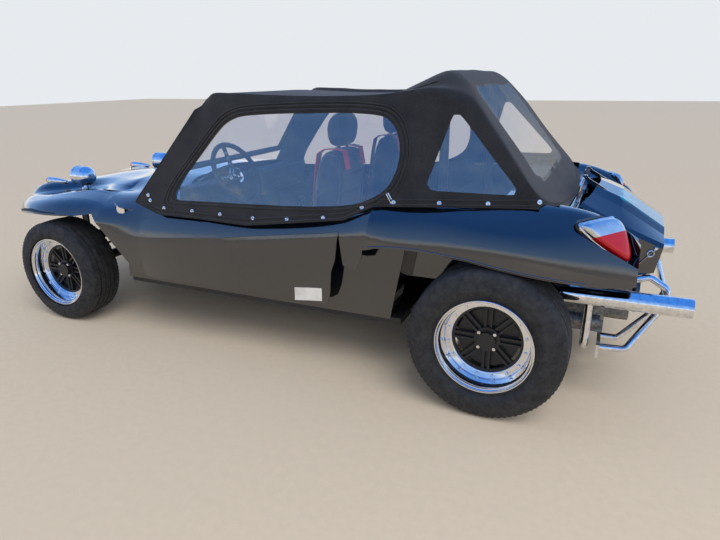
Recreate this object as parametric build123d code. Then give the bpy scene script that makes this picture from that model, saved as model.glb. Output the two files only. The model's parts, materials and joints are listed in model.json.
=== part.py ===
from build123d import *
import math
import os

# Frame: millimetres, +X towards the nose, +Y to the car's left, +Z up, ground at Z = 0.
# The origin is below the middle of the overall length.

# Overall layout
WHEELBASE = 2400.0
FRONT_OVERHANG = 480.0
REAR_OVERHANG = 713.0

X_TAIL = -(WHEELBASE + FRONT_OVERHANG + REAR_OVERHANG) / 2
XR = X_TAIL + REAR_OVERHANG
XF = XR + WHEELBASE

# Wheels: the flange plane is the outer face of the rim
REAR_FLANGE_Y = 785.0
FRONT_FLANGE_Y = 716.0
REAR_TYRE_R = 312.0
FRONT_TYRE_R = 285.0
REAR_TYRE_WIDTH = 240.0
FRONT_TYRE_WIDTH = 208.0
REAR_RIM_WIDTH = 216.0
FRONT_RIM_WIDTH = 190.0
RIM_SEAT_R = 178.0
RIM_LIP_R = 194.0
RIM_WALL = 6.0
REAR_CENTRE_DEPTH = 78.0
FRONT_CENTRE_DEPTH = 62.0
CENTRE_R = 141.0
CENTRE_THICK = 26.0
SPOKES = 8
HUB_CAP_R = 36.0
STUB_R = 15.0
RUNNING_FIT = 0.05

# Body moulding
SKIN = 5.0
TUB_Y = 620.0
TUB_FLOOR_Z = 292.0
TUB_REAR_X = XR + 441.0
WELL_Y = 508.0
COCKPIT_Y = 596.0
PANEL_GAP = 1.0

# Steering
KINGPIN_Y = 570.0
STEER_ARM = 95.0

# Small clearances
SEAT_GAP = 0.3

os.makedirs("parts", exist_ok=True)


def save(name, shape):
    export_step(shape, "parts/" + name + ".step")


def box(x0, x1, y0, y1, z0, z1):
    return Pos((x0 + x1) / 2, (y0 + y1) / 2, (z0 + z1) / 2) * Box(abs(x1 - x0), abs(y1 - y0), abs(z1 - z0))


def rod(start, end, radius):
    a = Vector(*start)
    b = Vector(*end)
    plane = Plane(origin=a, z_dir=(b - a).normalized())
    return extrude(plane * Circle(radius), (b - a).length)


def bent_tube(points, radius, bend):
    path = FilletPolyline(*points, radius=bend)
    start = Plane(origin=path @ 0, z_dir=path % 0)
    return sweep(start * Circle(radius), path=path)


def side_prism(points, y0, y1):
    outline = Polyline(*[(x, z) for x, z in points], close=True)
    return extrude(Plane.XZ.offset(-y1) * make_face(outline), y1 - y0)


def both(shape):
    return [shape, mirror(shape, about=Plane.XZ)]


def one(shapes):
    result = shapes[0]
    for shape in shapes[1:]:
        result = result + shape
    return result


# Body sections, left half, from the roof line down.
# Columns: distance from the axle, middle height, then (y, z) of the hood shoulder,
# the valley beside it, the fender crown, the widest edge, and the y of the foot.
FRONT_SECTIONS = [
    (480, 646, (385, 664), (440, 622), (468, 616), (500, 588), 490),
    (400, 688, (394, 706), (450, 650), (500, 645), (566, 606), 556),
    (280, 712, (350, 714), (412, 668), (524, 668), (640, 624), 634),
    (150, 736, (268, 720), (340, 674), (510, 690), (696, 644), 692),
    (-60, 766, (266, 736), (356, 698), (472, 717), (704, 668), 700),
    (-340, 808, (320, 770), (410, 716), (520, 722), (697, 634), 668),
    (-600, 838, (360, 808), (470, 766), (585, 728), (684, 552), 645),
]
MIDDLE_SECTIONS = [
    (1272, 838, (360, 812), (480, 766), (600, 722), (682, 601), 648),
    (740, 846, (360, 824), (500, 790), (612, 760), (700, 678), 655),
]
REAR_SECTIONS = [
    (500, 846, (340, 842), (500, 834), (640, 824), (742, 735), 746),
    (100, 820, (330, 818), (482, 820), (612, 848), (752, 742), 755),
    (-227, 788, (300, 786), (450, 790), (584, 858), (742, 726), 742),
    (-400, 744, (310, 738), (430, 720), (540, 810), (668, 668), 656),
    (-500, 692, (300, 686), (416, 662), (516, 718), (604, 628), 594),
]
FOOT_Z = 180.0
CORNER_SHARE = 0.45
FOOT_SHARE = 0.05


def section_points(row):
    middle = row[1]
    left = [row[2], row[3], row[4], row[5], (row[6], FOOT_Z)]
    right = [(-y, z) for y, z in left]
    return right[::-1] + [(0, middle)] + left


def inset(points, depth, foot_depth):
    lines = []
    count = len(points)
    for i in range(count):
        (y0, z0), (y1, z1) = points[i], points[(i + 1) % count]
        length = math.hypot(y1 - y0, z1 - z0)
        ny, nz = (z1 - z0) / length, -(y1 - y0) / length
        move = foot_depth if i == count - 1 else depth
        lines.append((y0 + ny * move, z0 + nz * move, (y1 - y0) / length, (z1 - z0) / length))
    moved = []
    for i in range(count):
        ay, az, ady, adz = lines[i - 1]
        by, bz, bdy, bdz = lines[i]
        cross = ady * bdz - adz * bdy
        s = ((by - ay) * bdz - (bz - az) * bdy) / cross
        moved.append((ay + ady * s, az + adz * s))
    return moved


def rounded_section(x, points):
    count = len(points)
    radii = []
    for i in range(count):
        (py, pz), (qy, qz), (ry, rz) = points[i - 1], points[i], points[(i + 1) % count]
        before = math.hypot(qy - py, qz - pz)
        after = math.hypot(ry - qy, rz - qz)
        turn = math.acos(((qy - py) * (ry - qy) + (qz - pz) * (rz - qz)) / before / after)
        share = FOOT_SHARE if i in (0, count - 1) else CORNER_SHARE
        radii.append(share * min(before, after) / math.tan(turn / 2))
    outline = FilletPolyline(*points, radius=radii, close=True)
    return Plane.YZ.offset(x) * make_face(outline)


def body_solid(depth):
    table = [(XF + row[0], row) for row in FRONT_SECTIONS]
    table += [(XR + row[0], row) for row in MIDDLE_SECTIONS + REAR_SECTIONS]
    front_end = len(FRONT_SECTIONS)
    middle_end = front_end + len(MIDDLE_SECTIONS)
    front = table[:front_end]
    middle = table[front_end - 1:middle_end + 1]
    rear = table[middle_end:]
    solids = []
    for group in (front, middle, rear):
        faces = []
        for x, row in group:
            if row is FRONT_SECTIONS[0]:
                x = x - depth
            if row is REAR_SECTIONS[-1]:
                x = x + depth
            points = section_points(row)
            if depth != 0:
                points = inset(points, depth, -depth)
            faces.append(rounded_section(x, points))
        solids.append(loft(faces))
    return one(solids)


# Side view of the lower edges, (x, z)
CREASE = [(XF - 290, 632), (XF - 395, 584), (XF - 480, 544), (XF - 606, 538),
          (XR + 1272, 590), (XR + 740, 668), (XR + 640, 690)]
FRONT_LIP = [(XF + 500, 535), (XF + 440, 548), (XF + 300, 583),
             (XF + 160, 604), (XF - 42, 610), (XF - 171, 613)]
REAR_LIP = [(XR + 622, 545), (XR + 590, 538), (XR + 552, 542), (XR + 526, 592),
            (XR + 520, 632), (XR + 470, 642), (XR + 296, 645), (XR + 80, 640),
            (XR - 106, 616), (XR - 267, 592), (XR - 381, 572), (XR - 540, 566)]
POD_REAR = [(XR + 640, 690), (XR + 664, 560), (XR + 688, 500),
            (XR + 700, 400), (XR + 716, 350), (XR + 742, 334)]
POD_FRONT = [(XF - 538, 330), (XF - 510, 376), (XF - 460, 441), (XF - 405, 505), (XF - 350, 573)]
ROOF_CLEAR = 1000.0
SIDE_REACH = 900.0

# Tub below the moulding
TUB_FRONT_X = XR + 1950.0
TOE_X = XR + 2180.0
TOE_Y = 350.0
TUB_REAR_TOP_X = XR + 380.0
HEEL_X = XR + 600.0
WELL_Z = 602.0
WELL_REAR_X = XR - 440.0
FIREWALL_LOW_Z = 505.0
BENCH_Z = 470.0
BENCH_REAR_X = XR + 180.0
SHELF_X = XR + 60.0
SHELF_Z = 764.0
FIREWALL_X = XR - 215.0
COWL_EDGE_X = XR + 1590.0
FLANGE_WIDTH = 60.0
TUNNEL_Y = 75.0
TUNNEL_Z = 400.0
ENGINE_COVER_Y = 318.0
ENGINE_OPENING_X = XR - 262.0

# Tail lamp plane: outer top, inner top and bottom tip of the lamp
LAMP_TOP_OUT = Vector(XR - 277, 640, 785)
LAMP_TOP_IN = Vector(XR - 388, 500, 792)
LAMP_TIP = Vector(XR - 455, 560, 600)


def lamp_plane():
    across = (LAMP_TOP_IN - LAMP_TOP_OUT).normalized()
    down = LAMP_TIP - LAMP_TOP_OUT
    normal = down.cross(across).normalized()
    if normal.X > 0:
        normal = normal * -1
    return Plane(origin=LAMP_TOP_OUT, x_dir=across, z_dir=normal)


def slab(plane, low, high, reach=600):
    return extrude(plane.offset(low) * Rectangle(2 * reach, 2 * reach), high - low)


def side_wall(side, x0, x1, y0, y1, z0, z1):
    return box(x0, x1, side * y0, side * y1, z0, z1)


def tub_parts(outer):
    rear = [(TUB_REAR_X, TUB_FLOOR_Z), (TUB_FRONT_X, TUB_FLOOR_Z), (TUB_FRONT_X, ROOF_CLEAR),
            (TUB_REAR_TOP_X, ROOF_CLEAR), (TUB_REAR_TOP_X, WELL_Z)]
    floor = (TUB_FLOOR_Z, TUB_FLOOR_Z + SKIN)
    front = (TUB_FRONT_X - SKIN, TUB_FRONT_X)
    flank = (WELL_Y - SKIN, WELL_Y)
    well_edge = TUB_REAR_TOP_X + SKIN
    walls = []
    for side in (1, -1):
        low, high = sorted((side * (TUB_Y - SKIN), side * TUB_Y))
        walls.append(side_prism(rear, low, high))
        walls.append(side_wall(side, TUB_REAR_X, TUB_FRONT_X, TUB_Y - FLANGE_WIDTH, TUB_Y, *floor))
        walls.append(side_wall(side, *front, TOE_Y, TUB_Y, TUB_FLOOR_Z, ROOF_CLEAR))
        walls.append(side_wall(side, front[0], TOE_X, TOE_Y - SKIN, TOE_Y, TUB_FLOOR_Z, ROOF_CLEAR))
        walls.append(side_wall(side, TUB_REAR_TOP_X, well_edge, WELL_Y - SKIN, TUB_Y, WELL_Z, ROOF_CLEAR))
        walls.append(side_wall(side, WELL_REAR_X, well_edge, *flank, WELL_Z - 2, ROOF_CLEAR))
        walls.append(side_wall(side, FIREWALL_X, TUB_REAR_X + SKIN, *flank, BENCH_Z - SKIN, WELL_Z + 3))
        slope = [(TUB_REAR_X, TUB_FLOOR_Z), (TUB_REAR_X + SKIN, TUB_FLOOR_Z),
                 (well_edge, WELL_Z + SKIN), (TUB_REAR_TOP_X, WELL_Z + SKIN)]
        low, high = sorted((side * (WELL_Y - SKIN), side * TUB_Y))
        walls.append(side_prism(slope, low, high))
    walls.append(box(TOE_X - SKIN, TOE_X, -TOE_Y, TOE_Y, TUB_FLOOR_Z, ROOF_CLEAR))
    heel = box(HEEL_X, HEEL_X + SKIN, -TUB_Y, TUB_Y, TUB_FLOOR_Z, BENCH_Z)
    heel -= box(HEEL_X - 1, HEEL_X + SKIN + 1, -TUNNEL_Y - 4, TUNNEL_Y + 4, TUB_FLOOR_Z, TUNNEL_Z + 4)
    walls.append(heel)
    step = box(TUB_REAR_TOP_X, HEEL_X + SKIN, -TUB_Y, TUB_Y, BENCH_Z - SKIN, BENCH_Z)
    for side in (1, -1):
        step -= side_wall(side, TUB_REAR_TOP_X - 1, TUB_REAR_X, WELL_Y, TUB_Y, BENCH_Z - 70, BENCH_Z + 30)
    walls.append(step)
    walls.append(box(BENCH_REAR_X, TUB_REAR_TOP_X, -WELL_Y, WELL_Y, BENCH_Z - SKIN, BENCH_Z))
    back = [(BENCH_REAR_X, BENCH_Z - SKIN), (BENCH_REAR_X + SKIN, BENCH_Z - SKIN),
            (SHELF_X + SKIN, SHELF_Z), (SHELF_X, SHELF_Z)]
    walls.append(side_prism(back, -WELL_Y, WELL_Y))
    walls.append(box(FIREWALL_X, SHELF_X + SKIN, -WELL_Y, WELL_Y, SHELF_Z - SKIN, SHELF_Z))
    walls.append(box(FIREWALL_X, FIREWALL_X + SKIN, -WELL_Y, WELL_Y, FIREWALL_LOW_Z, ROOF_CLEAR))
    return one(walls) & outer


def lamp_pocket(outer):
    """The hollow for the left tail lamp and the seat and rim that line it."""
    plane = lamp_plane()
    seat_face = lamp_face(POCKET_WIDTH)
    rim_face = seat_face - lamp_face(POCKET_WIDTH - SKIN)
    hollow = extrude(plane * seat_face, 200)
    lining = extrude(plane.offset(-SKIN) * seat_face, SKIN) + extrude(plane.offset(-SKIN) * rim_face, 200)
    return hollow, lining & outer


def body_parts(outer):
    shell = outer - body_solid(SKIN)
    above = FRONT_LIP + CREASE + REAR_LIP + [(XR - 540, ROOF_CLEAR), (XF + 500, ROOF_CLEAR)]
    crease = [(x, z - PANEL_GAP) for x, z in CREASE]
    below = crease + POD_REAR[1:] + POD_FRONT
    pod = shell & side_prism(below, 300, SIDE_REACH)
    hollow, lining = lamp_pocket(outer)
    cuts = both(hollow)
    cuts.append(box(FIREWALL_X + SKIN, COWL_EDGE_X, -COCKPIT_Y, COCKPIT_Y, 400, ROOF_CLEAR))
    cuts.append(box(XR - 600, ENGINE_OPENING_X, -ENGINE_COVER_Y - 12, ENGINE_COVER_Y + 12, 400, ROOF_CLEAR))
    cuts.append(column_shaft(COLUMN_R + 5))
    upper = (shell & side_prism(above, -SIDE_REACH, SIDE_REACH)) - cuts
    upper = upper + both(lining)
    return upper, both(pod)


def tub():
    inner = body_solid(SKIN + SEAT_GAP)
    body = tub_parts(inner)
    for cut in both(slab(lamp_plane(), -SKIN - 2, 400)):
        body -= cut
    return body - column_shaft(COLUMN_R + 5)


# Steering column, from the box on the front beam to the steering wheel
COLUMN_R = 14.0
COLUMN_LOW = (XF - 36.0, 95.0, 385.0)
COLUMN_KNEE = (XR + 1750.0, 340.0, 640.0)
STEER_HUB = (XR + 1390.0, 340.0, 834.0)


def column_shaft(radius):
    return rod(COLUMN_LOW, COLUMN_KNEE, radius)


# Wheels
def revolved(points):
    face = make_face(Polyline(*[(r, y, 0) for r, y in points], close=True))
    return Rot(0, 17, 0) * revolve(face, Axis.Y)


def tyre(radius, width, rim_width, flange_y):
    half = rim_width / 2 - 8 - SEAT_GAP
    seat = RIM_SEAT_R + SEAT_GAP
    side = width / 2
    profile = [(seat, half), (RIM_LIP_R + 2, half), (radius * 0.69, side * 0.97), (radius * 0.78, side),
               (radius * 0.92, side * 0.93), (radius * 0.975, side * 0.85), (radius, side * 0.72)]
    points = profile + [(r, -y) for r, y in profile[::-1]]
    return Pos(0, flange_y - rim_width / 2, 0) * revolved(points)


def rim(rim_width, flange_y, depth):
    inner = flange_y - rim_width
    ring = flange_y - depth
    wall = RIM_SEAT_R - RIM_WALL
    points = [(RIM_LIP_R, flange_y), (RIM_LIP_R, flange_y - 8), (RIM_SEAT_R, flange_y - 8),
              (RIM_SEAT_R, inner + 8), (RIM_LIP_R, inner + 8), (RIM_LIP_R, inner), (wall, inner),
              (wall, ring - 8), (CENTRE_R, ring - 8), (CENTRE_R, ring), (wall - 4, ring),
              (wall + 4, ring + 12), (RIM_SEAT_R + 7, flange_y - 6), (RIM_SEAT_R + 10, flange_y)]
    return revolved(points)


def wheel_centre(flange_y, depth, drum_depth):
    back = flange_y - depth - 8
    plate = Plane.XZ.offset(-back) * (Circle(CENTRE_R + 12) - Circle(CENTRE_R - 10))
    body = extrude(plate, 7)
    spoke_low = back - CENTRE_THICK + 8
    for i in range(SPOKES):
        for shift in (-11, 11):
            spoke = box(30, CENTRE_R - 4, spoke_low, back, shift - 5, shift + 5)
            body += Rot(0, 360 / SPOKES * i, 0) * spoke
        web = box(30, CENTRE_R - 4, spoke_low, spoke_low + 7, -11, 11)
        body += Rot(0, 360 / SPOKES * i, 0) * web
    hub = Plane.XZ.offset(-(back + 6)) * Circle(52)
    body += extrude(hub, CENTRE_THICK + 6)
    cap = Plane.XZ.offset(-(back + 24)) * Circle(HUB_CAP_R)
    body += extrude(cap, 30)
    drum = Plane.XZ.offset(-(spoke_low)) * Circle(122)
    body += extrude(drum, drum_depth)
    bore = Plane.XZ.offset(-(back + 6)) * Circle(STUB_R + RUNNING_FIT)
    body -= extrude(bore, CENTRE_THICK + drum_depth + 40)
    return body


WHEELS = {
    "front_left": (XF, FRONT_TYRE_R, FRONT_TYRE_WIDTH, FRONT_RIM_WIDTH, FRONT_FLANGE_Y, FRONT_CENTRE_DEPTH, 1),
    "front_right": (XF, FRONT_TYRE_R, FRONT_TYRE_WIDTH, FRONT_RIM_WIDTH, FRONT_FLANGE_Y, FRONT_CENTRE_DEPTH, -1),
    "rear_left": (XR, REAR_TYRE_R, REAR_TYRE_WIDTH, REAR_RIM_WIDTH, REAR_FLANGE_Y, REAR_CENTRE_DEPTH, 1),
    "rear_right": (XR, REAR_TYRE_R, REAR_TYRE_WIDTH, REAR_RIM_WIDTH, REAR_FLANGE_Y, REAR_CENTRE_DEPTH, -1),
}
DRUM_DEPTH = 32.0


def save_wheels():
    for name, (x, radius, width, rim_width, flange, depth, side) in WHEELS.items():
        pieces = {"tyre": tyre(radius, width, rim_width, flange), "rim": rim(rim_width, flange, depth),
                  "wheel_centre": wheel_centre(flange, depth, DRUM_DEPTH)}
        for kind, piece in pieces.items():
            if side < 0:
                piece = mirror(piece, about=Plane.XZ)
            save(kind + "_" + name, Pos(x, 0, radius) * piece)


# Front axle: two cross tubes, trailing arms, knuckles and the steering rods
BEAM_X = XF + 130.0
BEAM_LOW_Z = 232.0
BEAM_HIGH_Z = 382.0
BEAM_R = 29.0
BEAM_Y = 378.0
ARM_Y = 395.0
ARM_R = 14.0
BOSS_R = 18.0
BOSS_HEIGHT = 30.0
PIN_R = 8.0
ROD_Z = 330.0
ROD_R = 7.0
PITMAN_Y = 80.0
TOWER_Z = 560.0


def front_beam():
    pieces = []
    for z in (BEAM_LOW_Z, BEAM_HIGH_Z):
        pieces.append(rod((BEAM_X, -BEAM_Y, z), (BEAM_X, BEAM_Y, z), BEAM_R))
    for y in (-50, 50):
        pieces.append(box(BEAM_X - 8, BEAM_X + 8, y - 5, y + 5, BEAM_LOW_Z, BEAM_HIGH_Z))
    for side in (1, -1):
        tower = box(BEAM_X - 16, BEAM_X + 30, side * (BEAM_Y - 34), side * (BEAM_Y - 22), BEAM_LOW_Z, TOWER_Z)
        pieces.append(tower)
        for z in (BEAM_LOW_Z, BEAM_HIGH_Z):
            pieces.append(rod((BEAM_X, side * (BEAM_Y - 5), z), (BEAM_X, side * (ARM_Y + ARM_R), z), ARM_R + 6))
            pieces.append(rod((BEAM_X, side * ARM_Y, z), (XF, side * ARM_Y, z), ARM_R))
            pieces.append(rod((XF, side * ARM_Y, z), (XF, side * (KINGPIN_Y - 4), z), ARM_R - 2))
            low = (XF, side * KINGPIN_Y, z - BOSS_HEIGHT / 2)
            high = (XF, side * KINGPIN_Y, z + BOSS_HEIGHT / 2)
            pieces.append(rod(low, high, BOSS_R))
    beam = one(pieces)
    for side in (1, -1):
        for z in (BEAM_LOW_Z, BEAM_HIGH_Z):
            beam -= rod((XF, side * KINGPIN_Y, z - 60), (XF, side * KINGPIN_Y, z + 60), PIN_R + RUNNING_FIT)
    return beam


def knuckle(side):
    y = side * KINGPIN_Y
    low = BEAM_LOW_Z + BOSS_HEIGHT / 2 + SEAT_GAP
    high = BEAM_HIGH_Z - BOSS_HEIGHT / 2 - SEAT_GAP
    axle_z = FRONT_TYRE_R
    post = rod((XF, y, low), (XF, y, high), 19)
    pin = rod((XF, y, BEAM_LOW_Z - BOSS_HEIGHT / 2), (XF, y, BEAM_HIGH_Z + BOSS_HEIGHT / 2), PIN_R)
    stub_end = side * (FRONT_FLANGE_Y - FRONT_CENTRE_DEPTH - 6)
    stub = rod((XF, y, axle_z), (XF, stub_end, axle_z), STUB_R)
    inner = FRONT_FLANGE_Y - FRONT_CENTRE_DEPTH - CENTRE_THICK - DRUM_DEPTH
    flange = rod((XF, side * (inner - 8), axle_z), (XF, side * (inner - 2), axle_z), 116)
    neck = rod((XF, y, axle_z), (XF, side * (inner - 2), axle_z), 30)
    arm = box(XF, XF + STEER_ARM, y - 9, y + 9, ROD_Z - 30, ARM_TOP_Z)
    eye = rod((XF + STEER_ARM, y, ROD_Z - 30), (XF + STEER_ARM, y, ARM_TOP_Z), EYE_R)
    eye_pin = rod((XF + STEER_ARM, y, ROD_Z - 30), (XF + STEER_ARM, y, ARM_TOP_Z + EYE_HEIGHT + 4), EYE_PIN_R)
    return one([post, pin, stub, flange, neck, arm, eye, eye_pin])


EYE_R = 14.0
EYE_PIN_R = 6.0
EYE_CLEAR = 0.5
EYE_HEIGHT = 16.0
ARM_TOP_Z = ROD_Z - 14.0


def tie_rod(side):
    """The left rod's inner eye lies on the pitman arm, and the right rod's lies on the left one."""
    x = XF + STEER_ARM
    low = ARM_TOP_Z + SEAT_GAP
    inner_low = low if side > 0 else low + EYE_HEIGHT + 2 * SEAT_GAP
    ends = [(x, side * KINGPIN_Y, low, RUNNING_FIT), (x, PITMAN_Y, inner_low, EYE_CLEAR)]
    middles = [(px, y, z + EYE_HEIGHT / 2) for px, y, z, _ in ends]
    body = rod(middles[0], middles[1], ROD_R)
    for px, y, z, _ in ends:
        body += rod((px, y, z), (px, y, z + EYE_HEIGHT), EYE_R)
    for px, y, z, play in ends:
        body -= rod((px, y, z - 5), (px, y, z + EYE_HEIGHT + 5), EYE_PIN_R + play)
    return body


PITMAN_SHAFT_R = 12.0


def pitman_arm():
    x = XF + STEER_ARM
    low = ROD_Z - 30
    high = ARM_TOP_Z
    body = box(XF, x, PITMAN_Y - 12, PITMAN_Y + 12, low, high)
    body += rod((x, PITMAN_Y, low), (x, PITMAN_Y, high), EYE_R)
    body += rod((XF, PITMAN_Y, low), (XF, PITMAN_Y, high), 24)
    body += rod((x, PITMAN_Y, low), (x, PITMAN_Y, high + 2 * EYE_HEIGHT + 2), EYE_PIN_R)
    body -= rod((XF, PITMAN_Y, low - 5), (XF, PITMAN_Y, high + 5), PITMAN_SHAFT_R + RUNNING_FIT)
    return body


def steering_column():
    housing_low = 358.0
    body = box(XF - 40, BEAM_X - BEAM_R - SEAT_GAP, PITMAN_Y - 28, PITMAN_Y + 34, housing_low, 414)
    body += rod((XF, PITMAN_Y, ROD_Z - 30), (XF, PITMAN_Y, housing_low + 5), PITMAN_SHAFT_R)
    body += column_shaft(COLUMN_R)
    knee = Vector(*COLUMN_KNEE)
    hub = Vector(*STEER_HUB)
    along = (hub - knee).normalized()
    end = hub - along * 40
    body += rod(COLUMN_KNEE, (end.X, end.Y, end.Z), 26)
    body += Pos(*COLUMN_KNEE) * Sphere(28)
    shaft_end = hub + along * 8
    body += rod(COLUMN_KNEE, (shaft_end.X, shaft_end.Y, shaft_end.Z), 10)
    return body


WHEEL_RIM_R = 162.0
WHEEL_GRIP_R = 13.0


def steering_wheel():
    knee = Vector(*COLUMN_KNEE)
    hub = Vector(*STEER_HUB)
    along = (hub - knee).normalized()
    plane = Plane(origin=hub, x_dir=(0, 1, 0), z_dir=along)
    rim_ring = Torus(WHEEL_RIM_R, WHEEL_GRIP_R)
    body = rim_ring + Pos(0, 0, -25) * Cylinder(30, 28)
    for angle in (0, 180, 270):
        spoke = Pos((WHEEL_RIM_R + 20) / 2, 0, -14) * Box(WHEEL_RIM_R - 20, 26, 5)
        body += Rot(0, 0, angle) * spoke
    body += Pos(0, 0, -4) * Cylinder(34, 18)
    placed = plane * body
    bore_start = hub - along * 60
    bore_end = hub + along * (8 + SEAT_GAP)
    bore = rod(tuple(bore_start), tuple(bore_end), 10 + RUNNING_FIT)
    return placed - bore


# Floor pan with its tunnel and the head that carries the front axle
PAN_Z = 262.0
PAN_TOP = TUB_FLOOR_Z - SEAT_GAP
PAN_REAR_X = XR + 398.0
PAN_Y = 600.0
SHEET = 4.0
HOUSING_X = XR + 330.0
HOUSING_Z = 300.0
HOUSING_R = 45.0


def floor_pan():
    tray = box(PAN_REAR_X, TUB_FRONT_X, -PAN_Y, PAN_Y, PAN_Z, PAN_TOP)
    tray += box(TUB_FRONT_X, TOE_X, -TOE_Y, TOE_Y, PAN_Z, PAN_TOP)
    tray -= box(PAN_REAR_X + 20, TUB_FRONT_X - 20, -PAN_Y + 50, PAN_Y - 50, PAN_Z + SHEET, PAN_TOP + 1)
    tray -= box(TUB_FRONT_X - 21, TOE_X - 20, -TOE_Y + 30, TOE_Y - 30, PAN_Z + SHEET, PAN_TOP + 1)
    tunnel = box(PAN_REAR_X, TOE_X - 12, -TUNNEL_Y, TUNNEL_Y, PAN_Z, TUNNEL_Z)
    tunnel = fillet(tunnel.edges().filter_by(Axis.X).group_by(Axis.Z)[-1], 26)
    tunnel -= box(PAN_REAR_X - 1, TOE_X - 20, -TUNNEL_Y + SHEET, TUNNEL_Y - SHEET, PAN_Z + SHEET, TUNNEL_Z - 30)
    head_end = BEAM_X - BEAM_R - SEAT_GAP
    head = box(TOE_X - 30, head_end, -62, 62, PAN_Z - 52, PAN_Z + 24)
    rear_end = HOUSING_X + HOUSING_R + SEAT_GAP
    fork_root = box(rear_end, PAN_REAR_X + 1, -62, 62, PAN_Z, HOUSING_Z + 40)
    return tray + tunnel + head + fork_root


# Rear axle: cross tube, spring plates, axle tubes and stub axles
PLATE_Y = 538.0
AXLE_TUBE_R = 32.0
GEARBOX_Y = 92.0


def rear_axle():
    pieces = [rod((HOUSING_X, -PLATE_Y + 8, HOUSING_Z), (HOUSING_X, PLATE_Y - 8, HOUSING_Z), HOUSING_R)]
    z = REAR_TYRE_R
    for side in (1, -1):
        plate = [(HOUSING_X + 30, HOUSING_Z - 32), (HOUSING_X + 30, HOUSING_Z + 32),
                 (XR, z + 40), (XR - 40, z + 40),
                 (XR - 40, z - 40), (XR, z - 40)]
        low, high = sorted((side * (PLATE_Y - 8), side * PLATE_Y))
        pieces.append(side_prism(plate, low, high))
        pieces.append(rod((XR, side * (GEARBOX_Y + 38 + SEAT_GAP), z), (XR, side * 585, z), AXLE_TUBE_R))
        inner = REAR_FLANGE_Y - REAR_CENTRE_DEPTH - CENTRE_THICK - DRUM_DEPTH
        pieces.append(rod((XR, side * (inner - 22), z), (XR, side * (inner - 2), z), 118))
        pieces.append(rod((XR, side * 570, z), (XR, side * (inner - 2), z), 48))
        pieces.append(rod((XR, side * 560, z), (XR, side * (REAR_FLANGE_Y - REAR_CENTRE_DEPTH - 6), z), STUB_R))
        fork = [(HOUSING_X - 20, HOUSING_Z - 30), (HOUSING_X - 20, HOUSING_Z + 30),
                (XR - 60, 330), (XR - 60, 280)]
        low, high = sorted((side * 132, side * 150))
        pieces.append(side_prism(fork, low, high))
    return one(pieces)


ENGINE_FRONT_X = XR - 140.0
ENGINE_REAR_X = XR - 520.0
CRANK_Z = 330.0
ENGINE_FLOOR_Z = 226.0


def transaxle():
    case = box(ENGINE_FRONT_X + SEAT_GAP, XR + 130, -GEARBOX_Y, GEARBOX_Y, 250, 425)
    case = chamfer(case.edges().filter_by(Axis.X), 34)
    nose = box(XR + 120, HOUSING_X - HOUSING_R - SEAT_GAP, -62, 62, 262, 372)
    nose = chamfer(nose.edges().filter_by(Axis.X), 24)
    bell = rod((ENGINE_FRONT_X + SEAT_GAP, 0, CRANK_Z), (ENGINE_FRONT_X + 90, 0, CRANK_Z), 122)
    sides = rod((XR, -GEARBOX_Y - 38, REAR_TYRE_R), (XR, GEARBOX_Y + 38, REAR_TYRE_R), 60)
    return one([case, nose, bell, sides])


CYLINDER_R = 50.0
FINS = 7


def engine_block():
    case = box(ENGINE_REAR_X, ENGINE_FRONT_X, -112, 112, ENGINE_FLOOR_Z, 440)
    case = chamfer(case.edges().filter_by(Axis.X), 30)
    pieces = [case]
    for side in (1, -1):
        for x in (XR - 225, XR - 350):
            pieces.append(rod((x, side * 100, CRANK_Z), (x, side * 300, CRANK_Z), CYLINDER_R - 8))
            for i in range(FINS):
                y = side * (128 + 22 * i)
                pieces.append(rod((x, y, CRANK_Z), (x, y + side * 9, CRANK_Z), CYLINDER_R + 8))
        head = box(XR - 415, XR - 160, side * 285, side * 372, 272, 392)
        pieces.append(head)
        pieces.append(rod((XR - 400, side * 372, 318), (XR - 175, side * 372, 318), 30))
    pieces.append(rod((ENGINE_REAR_X - 34, 0, CRANK_Z), (ENGINE_REAR_X + 5, 0, CRANK_Z), 30))
    pieces.append(rod((ENGINE_REAR_X - 34, 0, CRANK_Z), (ENGINE_REAR_X - 16, 0, CRANK_Z), 84))
    return one(pieces)


SHROUD_X = XR - 248.0
SHROUD_DEPTH = 128.0


def fan_shroud():
    outline = [(-262, 442), (262, 442), (268, 560), (236, 660),
               (150, 742), (-150, 742), (-236, 660), (-268, 560)]
    face = make_face(Polyline(*outline, close=True))
    body = extrude(Plane.YZ.offset(SHROUD_X - SHROUD_DEPTH) * face, SHROUD_DEPTH)
    body = chamfer(body.edges().filter_by(Axis.X).group_by(Axis.Z)[-1], 30)
    body += rod((SHROUD_X - SHROUD_DEPTH - 135, 0, 610), (SHROUD_X - SHROUD_DEPTH + 5, 0, 610), 54)
    body += rod((SHROUD_X - SHROUD_DEPTH - 165, 0, 610), (SHROUD_X - SHROUD_DEPTH - 145, 0, 610), 62)
    body += rod((SHROUD_X - SHROUD_DEPTH - 165, 0, 610), (SHROUD_X - SHROUD_DEPTH - 130, 0, 610), 14)
    pedestal = box(SHROUD_X - SHROUD_DEPTH - 100, SHROUD_X - SHROUD_DEPTH - 20, -34, 34, 440 + SEAT_GAP, 600)
    return body + pedestal


# Exhausts
PIPE_Y = 446.0
PIPE_Z = 456.0
PIPE_R = 38.5
PIPE_FRONT_X = XR - 250.0


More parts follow.
